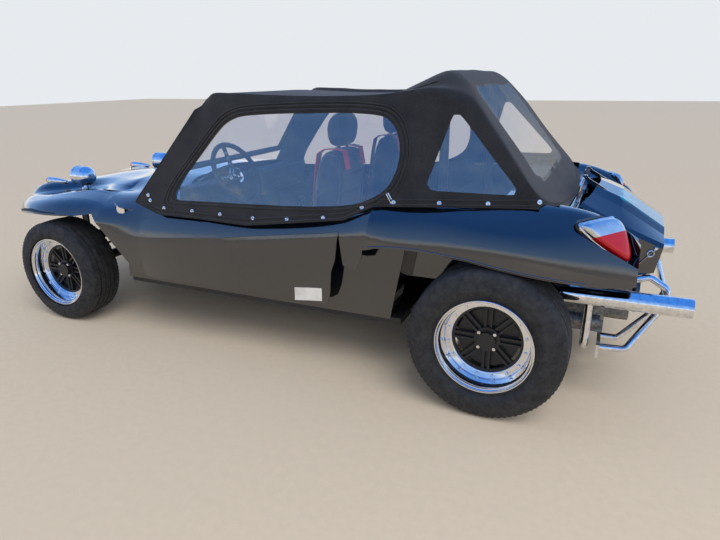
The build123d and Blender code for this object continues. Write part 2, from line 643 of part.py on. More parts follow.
def exhaust(side):
    y = side * PIPE_Y
    pipe = rod((X_TAIL, y, PIPE_Z), (PIPE_FRONT_X, y, PIPE_Z), PIPE_R)
    pipe -= rod((X_TAIL - 1, y, PIPE_Z), (X_TAIL + 180, y, PIPE_Z), PIPE_R - 2.5)
    cone = Plane(origin=(PIPE_FRONT_X, y, PIPE_Z), z_dir=(1, 0, 0))
    pipe += loft([cone * Circle(PIPE_R), cone.offset(50) * Circle(20)])
    pipe += rod((PIPE_FRONT_X + 30, y, PIPE_Z), (PIPE_FRONT_X + 60, y, PIPE_Z), 19)
    for x in (XR - 225, XR - 350):
        head_y = side * 340
        branch = [(x, head_y, 272 - SEAT_GAP), (x, head_y, 225), (x, y, 225), (x, y, PIPE_Z - 20)]
        pipe += bent_tube(branch, 18, 34)
    return pipe


# Rear bumper of chromed tube
BAR_R = 14.0


def rear_bumper():
    pieces = []
    for side in (1, -1):
        outer = [(XR - 405, side * 446, 240), (XR - 506, side * 446, 246), (XR - 642, side * 318, 430),
                 (XR - 632, side * 312, 478), (XR - 566, side * 305, 516), (XR - 440, side * 330, 486)]
        inner = [(XR - 405, side * 250, 205), (XR - 480, side * 250, 205), (XR - 585, side * 250, 330),
                 (XR - 632, side * 250, 440)]
        pieces.append(bent_tube(outer, BAR_R, 30))
        pieces.append(bent_tube(inner, BAR_R, 34))
        pieces.append(box(XR - 412, XR - 398, side * 236, side * 460, 196, 252))
    pieces.append(rod((XR - 632, -321, 440), (XR - 632, 321, 440), BAR_R - 1))
    pieces.append(rod((XR - 405, -240, 205), (XR - 405, 240, 205), BAR_R - 2))
    pieces.append(box(XR - 425, XR - 385, -40, 40, 205, ENGINE_FLOOR_Z - SEAT_GAP))
    return one(pieces)


# Engine cover: a shell hinged at its front top edge
COVER_SECTIONS = [
    (-268, (0, 876), (150, 868), (200, 846), (300, 806), (318, 788)),
    (-430, (0, 814), (150, 802), (200, 772), (300, 724), (318, 704)),
    (-600, (0, 706), (150, 692), (200, 670), (300, 656), (318, 640)),
]
COVER_SIDE = [(-266, 900), (-266, 776), (-436, 694), (-509, 520), (-574, 540), (-602, 690), (-607, 900)]
COVER_ARCH_R = 799.0
COVER_ARCH_X = -334.0
COVER_SKIN = 4.0
COVER_FOOT_Z = 500.0
COVER_AXIS = (XR - 273.0, 0.0, 880.0)
HINGE_Y = 124.0
HINGE_WIDTH = 8.0
HINGE_PIN_R = 4.0
HINGE_EYE_R = 8.0
HINGE_FOOT_Z = 762.0


def cover_solid(depth):
    faces = []
    for i, row in enumerate(COVER_SECTIONS):
        x = XR + row[0]
        if i == len(COVER_SECTIONS) - 1:
            x += depth
        left = list(row[2:]) + [(ENGINE_COVER_Y, COVER_FOOT_Z)]
        points = [(-y, z) for y, z in left[::-1]] + [row[1]] + left
        if depth > 0:
            points = inset(points, depth, -depth)
            if i == 0:
                x += 10
        outline = Polyline(*points, close=True)
        faces.append(Plane.YZ.offset(x) * make_face(outline))
    return loft(faces, ruled=True)


def engine_cover():
    shell = cover_solid(0) - cover_solid(COVER_SKIN)
    side = [(XR + x, z) for x, z in COVER_SIDE]
    cover = shell & side_prism(side, -ENGINE_COVER_Y - 10, ENGINE_COVER_Y + 10)
    cover -= Pos(XR + COVER_ARCH_X + COVER_ARCH_R, 0, 800) * Cylinder(COVER_ARCH_R, 400)
    x, _, z = COVER_AXIS
    for side in (1, -1):
        near = HINGE_Y + HINGE_WIDTH / 2 + SEAT_GAP
        low, high = sorted((side * near, side * (near + HINGE_WIDTH)))
        lug = side_prism([(x, z + HINGE_EYE_R - 1), (x, z - HINGE_EYE_R + 1), (x - 14, 856), (x - 95, 814),
                          (x - 95, 828.5), (x - 18, 872)], low, high)
        lug += rod((x, low, z), (x, high, z), HINGE_EYE_R)
        cover += lug
        cover -= rod((x, low - 9, z), (x, high + 9, z), HINGE_PIN_R + RUNNING_FIT)
    return cover


def cover_hinges():
    x, _, z = COVER_AXIS
    brackets = []
    for side in (1, -1):
        low, high = sorted((side * (HINGE_Y - HINGE_WIDTH / 2), side * (HINGE_Y + HINGE_WIDTH / 2)))
        bracket = box(x - 7, ENGINE_OPENING_X - SEAT_GAP, low, high, HINGE_FOOT_Z, z + 7)
        reach = side * (HINGE_Y + HINGE_WIDTH * 1.5 + 2 * SEAT_GAP)
        bracket += rod((x, side * HINGE_Y, z), (x, reach, z), HINGE_PIN_R)
        brackets.append(bracket)
    return brackets


# Windscreen plane: leans back from the cowl to the roof
SCREEN_LOW = (XR + 1699.0, 838.0)
SCREEN_HIGH = (XR + 1423.0, 1195.0)
SCREEN_Y_LOW = 560.0
SCREEN_Y_HIGH = 488.0
HEADER_TOP_Z = 1223.6
HEADER_Y = 424.0
SCREEN_BAR = 24.0


def screen_plane():
    up = Vector(SCREEN_HIGH[0] - SCREEN_LOW[0], 0, SCREEN_HIGH[1] - SCREEN_LOW[1]).normalized()
    normal = Vector(0, 1, 0).cross(up)
    return Plane(origin=(SCREEN_LOW[0], 0, SCREEN_LOW[1]), x_dir=(0, 1, 0), z_dir=normal)


def screen_outline(grow):
    length = math.hypot(SCREEN_HIGH[0] - SCREEN_LOW[0], SCREEN_HIGH[1] - SCREEN_LOW[1])
    points = [(-SCREEN_Y_LOW - grow, 10 - grow), (SCREEN_Y_LOW + grow, 10 - grow),
              (SCREEN_Y_HIGH + grow, length + grow), (-SCREEN_Y_HIGH - grow, length + grow)]
    return make_face(Polyline(*points, close=True))


def oriented(plane, face):
    up = plane.y_dir
    return plane * face if up.Z > 0 else plane * mirror(face, about=Plane.XZ)


def windscreen_frame():
    plane = screen_plane()
    frame = oriented(plane, screen_outline(0))
    hole = oriented(plane, screen_outline(-SCREEN_BAR))
    solid = extrude(frame, SCREEN_BAR / 2, both=True) - extrude(hole, SCREEN_BAR, both=True)
    header_low = SCREEN_HIGH[1] - 12
    solid += box(SCREEN_HIGH[0] - 16, SCREEN_HIGH[0] + 8, -HEADER_Y, HEADER_Y, header_low, HEADER_TOP_Z)
    slot = extrude(oriented(plane, screen_outline(-SCREEN_BAR + 8)), 3.3, both=True)
    return solid - slot


def windscreen_glass():
    plane = screen_plane()
    return extrude(oriented(plane, screen_outline(-SCREEN_BAR + 7.5)), 3, both=True)


# Soft top. Half sections, (y, z): roof middle, shoulder, roof edge and hem.
TOP_SECTIONS = [
    (1900, (0, 1234), (430, 1230), (520, 1205), (668, 650)),
    (1400, (0, 1234), (430, 1230), (520, 1205), (668, 650)),
    (520, (0, 1238), (430, 1230), (540, 1200), (718, 690)),
    (290, (0, 1330), (430, 1325), (545, 1215), (682, 760)),
    (-300, (0, 1330), (430, 1325), (545, 1215), (648, 790)),
]
TOP_PROFILE = [(1806, 716), (1646, 668), (1123, 666), (621, 738), (498, 802), (-150, 838), (-236, 774),
               (-247, 786), (-128, 892), (164, 1262), (240, 1332), (300, 1400), (1402, 1400), (1422, 1222)]
TOP_SKIN = 6.0
CANVAS_GAP = 1.5
PANE_INSET = 2.0
PANE_SKIN = 2.0
SIDE_WINDOW = [(1600, 738), (1462, 741), (634, 776), (460, 845), (410, 930), (403, 1030), (440, 1120),
               (526, 1168), (1150, 1150), (1260, 1125), (1330, 1070)]
QUARTER_WINDOW = [(206, 1190), (300, 872), (-88, 874)]
REAR_WINDOW = [(170, 420), (170, -420), (-124, -440), (-124, 440)]


def top_solid(depth):
    faces = []
    for x, middle, shoulder, edge, hem in TOP_SECTIONS:
        hem = (hem[0] + (hem[0] - edge[0]) * 0.3, hem[1] + (hem[1] - edge[1]) * 0.3)
        left = [shoulder, edge, hem]
        points = [(-y, z) for y, z in left[::-1]] + [middle] + left
        if depth > 0:
            points = inset(points, depth, -depth)
        faces.append(Plane.YZ.offset(XR + x) * make_face(Polyline(*points, close=True)))
    solid = loft(faces, ruled=True)
    profile = [(XR + x, z) for x, z in TOP_PROFILE]
    outer = side_prism(profile, -SIDE_REACH, SIDE_REACH)
    if depth > 0:
        outer = side_prism(rear_inset(depth), -SIDE_REACH, SIDE_REACH)
    return solid & outer


def rear_inset(depth):
    shift = depth * 1.45
    return xr_points([(1900, 560), (-247 + shift, 560), (-247 + shift, 786), (-128 + shift, 892),
                      (164 + shift, 1262), (240 + shift, 1332), (300, 1500), (1900, 1500)])


def xr_points(points):
    return [(XR + x, z) for x, z in points]


def window_prisms(gap):
    side = make_face(Polyline(*xr_points(SIDE_WINDOW), close=True))
    quarter = make_face(Polyline(*xr_points(QUARTER_WINDOW), close=True))
    rear = make_face(Polyline(*xr_points(REAR_WINDOW), close=True))
    if gap > 0:
        side = offset(side, -gap).face()
        quarter = offset(quarter, -gap).face()
        rear = offset(rear, -gap).face()
    cuts = []
    for face in (side, quarter):
        for start in (-SIDE_REACH, 470):
            cuts.append(extrude(Plane.XZ.offset(-start - (SIDE_REACH - 470)) * face, SIDE_REACH - 470))
    cuts.append(Pos(0, 0, 896) * extrude(rear, 360))
    return cuts


def soft_top():
    shell = top_solid(0) - top_solid(TOP_SKIN)
    for cut in window_prisms(0):
        shell -= cut
    return shell - body_solid(-CANVAS_GAP)


def soft_windows():
    shell = top_solid(PANE_INSET) - top_solid(PANE_INSET + PANE_SKIN)
    panes = [shell & cut for cut in window_prisms(1.0)]
    return panes


# Roof hoop behind the seats
HOOP_X = XR + 262.0
HOOP_Y = 482.0
HOOP_R = 19.0
HOOP_TOP_Z = 1292.0


def roof_hoop():
    foot = BENCH_Z + SEAT_GAP
    points = [(HOOP_X, -HOOP_Y, foot), (HOOP_X, -HOOP_Y, HOOP_TOP_Z), (HOOP_X, HOOP_Y, HOOP_TOP_Z),
              (HOOP_X, HOOP_Y, foot)]
    hoop = bent_tube(points, HOOP_R, 130)
    for side in (1, -1):
        hoop += rod((HOOP_X, side * HOOP_Y, foot), (HOOP_X, side * HOOP_Y, foot + 6), 20.5)
    return hoop


# Lamps
LAMP_X = XF + 107.0
LAMP_Y = 334.0
LAMP_Z = 758.0
LAMP_R = 58.0
LAMP_FOOT_Z = 660.0


def headlamps(outer):
    y = LAMP_Y
    body = rod((LAMP_X - 10, y, LAMP_Z), (LAMP_X + 48, y, LAMP_Z), LAMP_R)
    back = Plane(origin=(LAMP_X - 10, y, LAMP_Z), z_dir=(-1, 0, 0))
    body += loft([back * Circle(LAMP_R), back.offset(34) * Circle(LAMP_R * 0.82), back.offset(58) * Circle(16)])
    body -= rod((LAMP_X + 34, y, LAMP_Z), (LAMP_X + 60, y, LAMP_Z), LAMP_R - 4)
    body += rod((LAMP_X, y, LAMP_FOOT_Z), (LAMP_X, y, LAMP_Z - LAMP_R + 6), 9)
    body += rod((LAMP_X, y, LAMP_FOOT_Z), (LAMP_X, y, LAMP_FOOT_Z + 34), 26)
    return both(body - outer)


def headlamp_lenses():
    lenses = []
    for side in (1, -1):
        y = side * LAMP_Y
        plane = Plane(origin=(LAMP_X + 34, y, LAMP_Z), z_dir=(1, 0, 0))
        disc = loft([plane * Circle(LAMP_R - 4 - SEAT_GAP), plane.offset(16) * Circle(LAMP_R - 12),
                     plane.offset(24) * Circle(LAMP_R - 34)])
        lenses.append(disc)
    return lenses


INDICATOR_X = XF + 400.0
INDICATOR_Y = 344.0
INDICATOR_Z = 717.0
INDICATOR_R = 21.0
INDICATOR_LENGTH = 150.0


def indicators(outer):
    y = INDICATOR_Y
    tail = Plane(origin=(INDICATOR_X - INDICATOR_LENGTH, y, INDICATOR_Z), z_dir=(1, 0, 0))
    mouth = Plane(origin=(INDICATOR_X, y, INDICATOR_Z), z_dir=(1, 0, 0))
    shell = loft([tail * Circle(7), tail.offset(70) * Circle(INDICATOR_R - 4), mouth * Circle(INDICATOR_R)])
    shell += rod((INDICATOR_X - 18, y, INDICATOR_Z - INDICATOR_R - 30), (INDICATOR_X - 18, y, INDICATOR_Z), 10)
    lens = loft([mouth * Circle(INDICATOR_R - 1), mouth.offset(14) * Circle(INDICATOR_R - 5),
                 mouth.offset(24) * Circle(8)])
    return both(shell - outer), both(lens - outer)


# Lens outline in the lamp plane, (across, up) from the outer top corner
LAMP_SHAPE = [(0, 3), (173, 1), (202, -46), (198, -150), (170, -182), (46, -74), (-2, -16)]
LAMP_CORNER = 9.0
POCKET_WIDTH = 22.0


def lamp_outline(grow):
    """The lens outline, moved out by grow."""
    moved = []
    count = len(LAMP_SHAPE)
    for i in range(count):
        a, b, c = LAMP_SHAPE[i - 1], LAMP_SHAPE[i], LAMP_SHAPE[(i + 1) % count]
        normals = []
        for (x0, y0), (x1, y1) in ((a, b), (b, c)):
            length = math.hypot(x1 - x0, y1 - y0)
            normals.append(((y0 - y1) / length, (x1 - x0) / length))
        (nx0, ny0), (nx1, ny1) = normals
        scale = grow / (1 + nx0 * nx1 + ny0 * ny1)
        moved.append((b[0] + (nx0 + nx1) * scale, b[1] + (ny0 + ny1) * scale))
    return moved


def lamp_face(grow):
    return make_face(FilletPolyline(*lamp_outline(grow), radius=LAMP_CORNER, close=True))


LAMP_BASE = 14.0
LAMP_DEPTH = 30.0


def tail_lamps():
    plane = lamp_plane()
    base = extrude(plane.offset(SEAT_GAP) * lamp_face(4), LAMP_BASE)
    lens = extrude(plane.offset(LAMP_BASE + 2 * SEAT_GAP) * lamp_face(-2), LAMP_DEPTH)
    front = lens.faces().sort_by(Axis(plane.origin, plane.z_dir))[-1]
    lens = chamfer(front.edges(), 4)
    return both(base), both(lens)


# Seats, bench, belts and dash
SEAT_Y = 340.0
SEAT_WIDTH = 440.0


# Seat back and headrest sections: height, rear and front x, width, corner radius
SEAT_BACK = [(430, 791, 906, 400, 34), (650, 765, 879, 430, 40),
             (860, 739, 853, 392, 46), (985, 724, 838, 330, 50)]
HEADREST = [(998, 752, 822, 150, 30), (1030, 738, 832, 206, 40),
            (1090, 732, 830, 222, 44), (1128, 736, 816, 196, 36),
            (1146, 752, 798, 130, 20)]


def seat_sections(table, y):
    faces = []
    for z, rear, front, width, corner in table:
        plane = Plane(origin=(XR + (rear + front) / 2, y, z))
        faces.append(plane * RectangleRounded(front - rear, width, corner))
    return faces


def seat(y):
    low = PAN_TOP + 60
    base = box(XR + 800, XR + 1240, y - SEAT_WIDTH / 2, y + SEAT_WIDTH / 2, low, 500)
    base = fillet(base.edges().filter_by(Axis.X) + base.edges().filter_by(Axis.Z), 24)
    back = loft(seat_sections(SEAT_BACK, y), ruled=True)
    head = loft(seat_sections(HEADREST, y))
    necks = [rod((XR + 782, y + shift, 975), (XR + 786, y + shift, 1010), 8) for shift in (-42, 42)]
    runners = [box(XR + 840, XR + 1200, y + shift - 10, y + shift + 10, PAN_Z + SHEET + SEAT_GAP, low + 2)
               for shift in (-160, 160)]
    return one([base, back, head] + necks + runners)


def rear_bench():
    cushion = box(XR + 300, XR + 590, -470, 470, BENCH_Z + SEAT_GAP, BENCH_Z + 90)
    return fillet(cushion.edges().filter_by(Axis.Y), 20)


BELT_WIDTH = 50.0


def belts():
    strips = []
    for seat_side in (1, -1):
        for shift in (-85, 85):
            y = seat_side * SEAT_Y + shift
            outline = [(XR + 912, 505), (XR + 918, 505), (XR + 846, 992), (XR + 714, 992), (XR + 714, 986.3),
                       (XR + 838.6, 986.3)]
            strips.append(side_prism(outline, y - BELT_WIDTH / 2, y + BELT_WIDTH / 2))
    return strips


def dashboard():
    front = COWL_EDGE_X - SEAT_GAP
    panel = box(front - 90, front, -560, 560, 640, 790)
    panel = fillet(panel.edges().filter_by(Axis.Y).sort_by(Axis.X)[:2], 18)
    return panel - rod(COLUMN_KNEE, STEER_HUB, 27)


def cockpit_controls():
    top = TUNNEL_Z + SEAT_GAP
    lever = rod((XR + 1250, 0, top + 8), (XR + 1215, 0, 640), 7) + Pos(XR + 1215, 0, 645) * Sphere(22)
    lever += rod((XR + 1250, 0, top), (XR + 1250, 0, top + 14), 34)
    brake = rod((XR + 1010, 0, top + 14), (XR + 1160, 0, 520), 9)
    brake += box(XR + 980, XR + 1040, -16, 16, top, top + 30)
    brake += rod((XR + 1160, 0, 520), (XR + 1210, 0, 560), 15)
    pedals = []
    for y in (170, 260):
        floor = PAN_Z + SHEET + SEAT_GAP
        pedal = rod((XR + 2040, y, floor + 6), (XR + 2070, y, 470), 7)
        pedal += box(XR + 2024, XR + 2056, y - 12, y + 12, floor, floor + 14)
        pedal += box(XR + 2058, XR + 2072, y - 26, y + 26, 460, 530)
        pedals.append(pedal)
    return [lever, brake] + pedals


def many(shapes):
    return Compound(children=[s for shape in shapes for s in shape.solids()])


def build():
    outer = body_solid(0)
    upper, pods = body_parts(outer)
    save("body_shell", upper)
    save("tub", tub())
    save("side_panel_left", pods[0])
    save("side_panel_right", pods[1])
    save_wheels()
    save("front_beam", front_beam())
    for name, side in (("left", 1), ("right", -1)):
        save("knuckle_" + name, knuckle(side))
        save("tie_rod_" + name, tie_rod(side))
        save("exhaust_" + name, exhaust(side))
        save("seat_" + name, seat(side * SEAT_Y))
    save("pitman_arm", pitman_arm())
    save("steering_column", steering_column())
    save("steering_wheel", steering_wheel())
    save("floor_pan", floor_pan())
    save("rear_axle", rear_axle())
    save("transaxle", transaxle())
    save("engine_block", engine_block())
    save("fan_shroud", fan_shroud())
    save("rear_bumper", rear_bumper())
    save("engine_cover", engine_cover())
    save("cover_hinges", many(cover_hinges()))
    save("windscreen_frame", windscreen_frame())
    save("windscreen_glass", windscreen_glass())
    save("soft_top", soft_top())
    save("soft_windows", many(soft_windows()))
    save("roof_hoop", roof_hoop())
    save("headlamps", many(headlamps(outer)))
    save("headlamp_lenses", many(headlamp_lenses()))
    indicator_bodies, indicator_lenses = indicators(outer)
    save("indicators", many(indicator_bodies))
    save("indicator_lenses", many(indicator_lenses))
    bases, lenses = tail_lamps()
    save("tail_lamp_bases", many(bases))
    save("tail_lamp_lenses", many(lenses))
    save("rear_bench", rear_bench())
    save("belts", many(belts()))
    save("dashboard", dashboard())
    save("cockpit_controls", many(cockpit_controls()))


build()
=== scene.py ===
import json
import math
from contextlib import contextmanager

import bmesh
import bpy
from mathutils import Matrix, Vector, noise
from mathutils.bvhtree import BVHTree


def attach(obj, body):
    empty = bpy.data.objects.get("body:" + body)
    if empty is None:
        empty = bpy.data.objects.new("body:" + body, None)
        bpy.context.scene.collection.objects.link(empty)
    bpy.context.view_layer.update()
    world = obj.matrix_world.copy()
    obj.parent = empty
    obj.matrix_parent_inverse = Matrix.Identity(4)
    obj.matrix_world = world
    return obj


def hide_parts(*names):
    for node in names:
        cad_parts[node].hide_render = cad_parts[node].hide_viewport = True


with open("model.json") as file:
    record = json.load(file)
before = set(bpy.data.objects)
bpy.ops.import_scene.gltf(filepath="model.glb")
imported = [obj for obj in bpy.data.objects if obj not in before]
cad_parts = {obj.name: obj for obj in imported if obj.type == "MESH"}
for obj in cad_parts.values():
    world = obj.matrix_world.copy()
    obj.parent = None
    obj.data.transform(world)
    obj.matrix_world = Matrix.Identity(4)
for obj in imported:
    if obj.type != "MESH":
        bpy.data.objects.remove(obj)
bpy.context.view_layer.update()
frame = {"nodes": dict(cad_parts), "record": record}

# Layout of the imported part, in metres
XR = -1.0835
XF = 1.3165
SIDES = (("left", 1), ("right", -1))
# Faces of a block given by two loops of four corners
BLOCK = [(0, 1, 2, 3), (7, 6, 5, 4), (0, 4, 5, 1), (1, 5, 6, 2), (2, 6, 7, 3), (3, 7, 4, 0)]
SQUARE = ((-1, -1), (1, -1), (1, 1), (-1, 1))
UP = Vector((0, 0, 1))


def at(x, y, z):
    """A point given in millimetres from the rear axle's line, the middle plane and the ground."""
    return Vector((XR + x / 1000, y / 1000, z / 1000))


def clamp(value, low=0.0, high=1.0):
    return max(low, min(high, value))


def linked(name, data):
    """A new object in the scene."""
    obj = bpy.data.objects.new(name, data)
    bpy.context.scene.collection.objects.link(obj)
    return obj


# Camera, floor and light
CAMERA_PLACE = (-1.4379, 2.7225, 1.2966)
CAMERA_ANGLES = (-66.0, -19.06, -0.71)
WARM = (1.0, 0.95, 0.88)


def camera():
    data = bpy.data.cameras.new("photo_camera")
    data.lens = 27.88
    data.sensor_width = 36.0
    data.clip_end = 200.0
    cam = linked("photo_camera", data)
    yaw, pitch, roll = (math.radians(a) for a in CAMERA_ANGLES)
    ahead = Vector((math.cos(yaw) * math.cos(pitch), math.sin(yaw) * math.cos(pitch), math.sin(pitch)))
    right = Vector((math.sin(yaw), -math.cos(yaw), 0))
    up = right.cross(ahead)
    x_axis = math.cos(roll) * right + math.sin(roll) * up
    y_axis = -math.sin(roll) * right + math.cos(roll) * up
    turn = Matrix((x_axis, y_axis, -ahead)).transposed()
    cam.matrix_world = Matrix.Translation(CAMERA_PLACE) @ turn.to_4x4()
    bpy.context.scene.camera = cam


def studio_lamp(name, kind, place, towards, power, **shape):
    data = bpy.data.lights.new(name, kind)
    data.energy = power
    data.color = WARM
    for key, value in shape.items():
        setattr(data, key, value)
    lamp = linked(name, data)
    lamp.visible_glossy = False
    aim = Vector(towards).to_track_quat("-Z", "Y")
    lamp.matrix_world = Matrix.Translation(place) @ aim.to_matrix().to_4x4()


def fill_ramp(ramp, stops):
    while len(ramp.elements) < len(stops):
        ramp.elements.new(0.5)
    for element, (place, colour) in zip(ramp.elements, stops):
        element.position = place
        element.color = (*colour, 1) if isinstance(colour, tuple) else (colour, colour, colour, 1)


# Node materials
class Mat:
    def __init__(self, name, colour, rough=0.5, metal=0.0, **more):
        self.material = bpy.data.materials.new(name)
        self.material.use_nodes = True
        self.tree = self.material.node_tree
        self.shader = self.tree.nodes["Principled BSDF"]
        self.colour = colour
        self.set("Base Color", (*colour, 1))
        self.set("Roughness", rough)
        self.set("Metallic", metal)
        for key, value in more.items():
            self.set(key.replace("_", " "), value)
        self.coords = self.node("ShaderNodeTexCoord").outputs["Object"]

    def node(self, kind, inputs=(), **settings):
        made = self.tree.nodes.new(kind)
        for key, value in settings.items():
            setattr(made, key, value)
        for key, value in dict(inputs).items():
            made.inputs[key].default_value = value
        return made

    def set(self, socket, value):
        self.shader.inputs[socket].default_value = value

    def join(self, a, b):
        self.tree.links.new(a, b)

    def noise(self, scale, detail=4.0, rough=0.55):
        made = self.node("ShaderNodeTexNoise", {"Scale": scale, "Detail": detail, "Roughness": rough})
        self.join(self.coords, made.inputs["Vector"])
        return made.outputs["Fac"]

    def wave(self, scale, axis):
        made = self.node("ShaderNodeTexWave", {"Scale": scale, "Distortion": 0.0}, bands_direction=axis)
        self.join(self.coords, made.inputs["Vector"])
        return made.outputs["Fac"]

    def ramp(self, fac, stops):
        made = self.node("ShaderNodeValToRGB")
        fill_ramp(made.color_ramp, stops)
        self.join(fac, made.inputs["Fac"])
        return made.outputs["Color"]

    def mix(self, fac, a, b):
        made = self.node("ShaderNodeMix", data_type="RGBA")
        for socket, value in (("Factor", fac), ("A", a), ("B", b)):
            slot = [s for s in made.inputs if s.name == socket and s.enabled][0]
            if isinstance(value, bpy.types.NodeSocket):
                self.join(value, slot)
            else:
                slot.default_value = (*value, 1) if isinstance(value, tuple) else value
        return [s for s in made.outputs if s.enabled][0]

    def math(self, operation, a, b=0.0, c=None):
        made = self.node("ShaderNodeMath", operation=operation)
        for slot, value in zip(made.inputs, (a, b, c)):
            if isinstance(value, bpy.types.NodeSocket):
                self.join(value, slot)
            elif value is not None:
                slot.default_value = value
        return made.outputs["Value"]

    def axis(self, name):
        made = self.node("ShaderNodeSeparateXYZ")
        self.join(self.coords, made.inputs["Vector"])
        return made.outputs[name]

    def wander(self, socket, scale, low, high):
        spread_out = self.ramp(self.noise(scale, 5.0, 0.6), [(0.3, low), (0.7, high)])
        self.join(spread_out, self.shader.inputs[socket])
        return self

    def speckle(self, scale, low, high):
        """Base colour that wanders between low and high times the set colour."""
        dark = tuple(c * low for c in self.colour)
        light = tuple(min(1.0, c * high) for c in self.colour)
        return self.wander("Base Color", scale, dark, light)

    def uneven(self, scale, low, high):
        """Roughness that wanders between low and high."""
        return self.wander("Roughness", scale, low, high)

    def bump(self, fac, strength, distance):
        made = self.node("ShaderNodeBump", {"Strength": strength, "Distance": distance})
        self.join(fac, made.inputs["Height"])
        normal = self.shader.inputs["Normal"]
        if normal.is_linked:
            self.join(normal.links[0].from_socket, made.inputs["Normal"])
        self.join(made.outputs["Normal"], normal)
        return self


# The body's near-black blue
INK = (0.0035, 0.0055, 0.010)


def lacquer(name):
    m = Mat(name, INK, 0.07, 0.0, Coat_Weight=1.0, Coat_Roughness=0.02, Coat_IOR=1.75)
    m.bump(m.noise(1.8, 1.0), 0.12, 0.012)
    m.bump(m.noise(420.0, 2.0), 0.03, 0.0004)
    m.uneven(30.0, 0.04, 0.11)
    return m


def gelcoat():
    m = lacquer("gelcoat")
    grime = m.math("MULTIPLY", m.ramp(m.axis("Z"), [(0.28, 0.9), (0.5, 0.0)]), m.noise(14.0, 8.0, 0.7))
    m.join(m.mix(grime, INK, (0.03, 0.024, 0.016)), m.shader.inputs["Base Color"])
    return m


def cover_paint():
    """Lacquer with a plain scallop border in turquoise, made for this part."""
    m = lacquer("cover_paint")
    along = m.math("MULTIPLY_ADD", m.axis("X"), -1.0, XR - 0.30)
    across = m.math("ABSOLUTE", m.axis("Y"))
    lobes = m.math("ABSOLUTE", m.math("SINE", m.math("MULTIPLY", across, 34.0)))
    edge = m.math("MULTIPLY_ADD", lobes, -0.045, 0.155)
    depth = m.math("SUBTRACT", along, edge)
    field = m.ramp(m.math("MULTIPLY", depth, 22.0), [(0.0, 0.0), (0.12, 1.0), (0.5, 0.85), (1.0, 0.3)])
    inside = m.ramp(m.math("MULTIPLY", across, 4.0), [(0.60, 1.0), (0.66, 0.0)])
    paint = m.math("MULTIPLY", field, inside)
    blue = m.mix(m.noise(9.0, 3.0), (0.0, 0.20, 0.32), (0.02, 0.42, 0.55))
    m.join(m.mix(paint, INK, blue), m.shader.inputs["Base Color"])
    return m


def canvas():
    m = Mat("canvas", (0.011, 0.011, 0.0125), 0.8, 0.0, Sheen_Weight=0.18, Sheen_Roughness=0.5)
    m.speckle(9.0, 0.7, 1.8)
    m.uneven(160.0, 0.7, 0.92)
    m.bump(m.noise(9.0, 4.0), 0.3, 0.006)
    m.bump(m.wave(700.0, "X"), 0.35, 0.0005)
    m.bump(m.wave(700.0, "Z"), 0.35, 0.0005)
    return m


def rubber():
    m = Mat("tyre_rubber", (0.017, 0.017, 0.018), 0.72)
    m.speckle(24.0, 0.6, 1.9)
    m.uneven(60.0, 0.55, 0.88)
    m.bump(m.noise(300.0, 3.0), 0.2, 0.0008)
    return m


def metal(name, colour, rough, grain=60.0, low=0.8, high=1.2, bump=0.05):
    m = Mat(name, colour, rough, 1.0)
    m.speckle(grain, low, high)
    m.uneven(grain * 0.6, rough * 0.6, rough * 1.7)
    m.bump(m.noise(grain * 4, 3.0), bump, 0.0006)
    return m


def plastic(name, colour, rough, grain=200.0, bump=0.2):
    m = Mat(name, colour, rough)
    m.speckle(grain * 0.1, 0.8, 1.3)
    m.uneven(grain * 0.2, rough * 0.8, min(1.0, rough * 1.25))
    m.bump(m.noise(grain, 3.0), bump, 0.0006)
    return m


def woven(name, colour, rough, threads, bump=0.3):
    m = Mat(name, colour, rough, 0.0, Sheen_Weight=0.3, Sheen_Roughness=0.4)
    m.speckle(30.0, 0.7, 1.5)
    m.uneven(90.0, rough * 0.85, min(1.0, rough * 1.15))
    m.bump(m.wave(threads, "DIAGONAL"), bump, 0.0005)
    m.bump(m.wave(threads, "Z"), bump, 0.0005)
    return m


def clear(name, colour, rough, tint, ripple, shine=1.0):
    """A thin clear film: tint is the share of light that it sends back."""
    m = Mat(name, colour, rough, shine, IOR=1.45, Alpha=tint)
    m.uneven(6.0, rough * 0.6, rough * 1.8)
    if ripple:
        m.bump(m.noise(7.0, 3.0), 0.5, ripple)
    return m


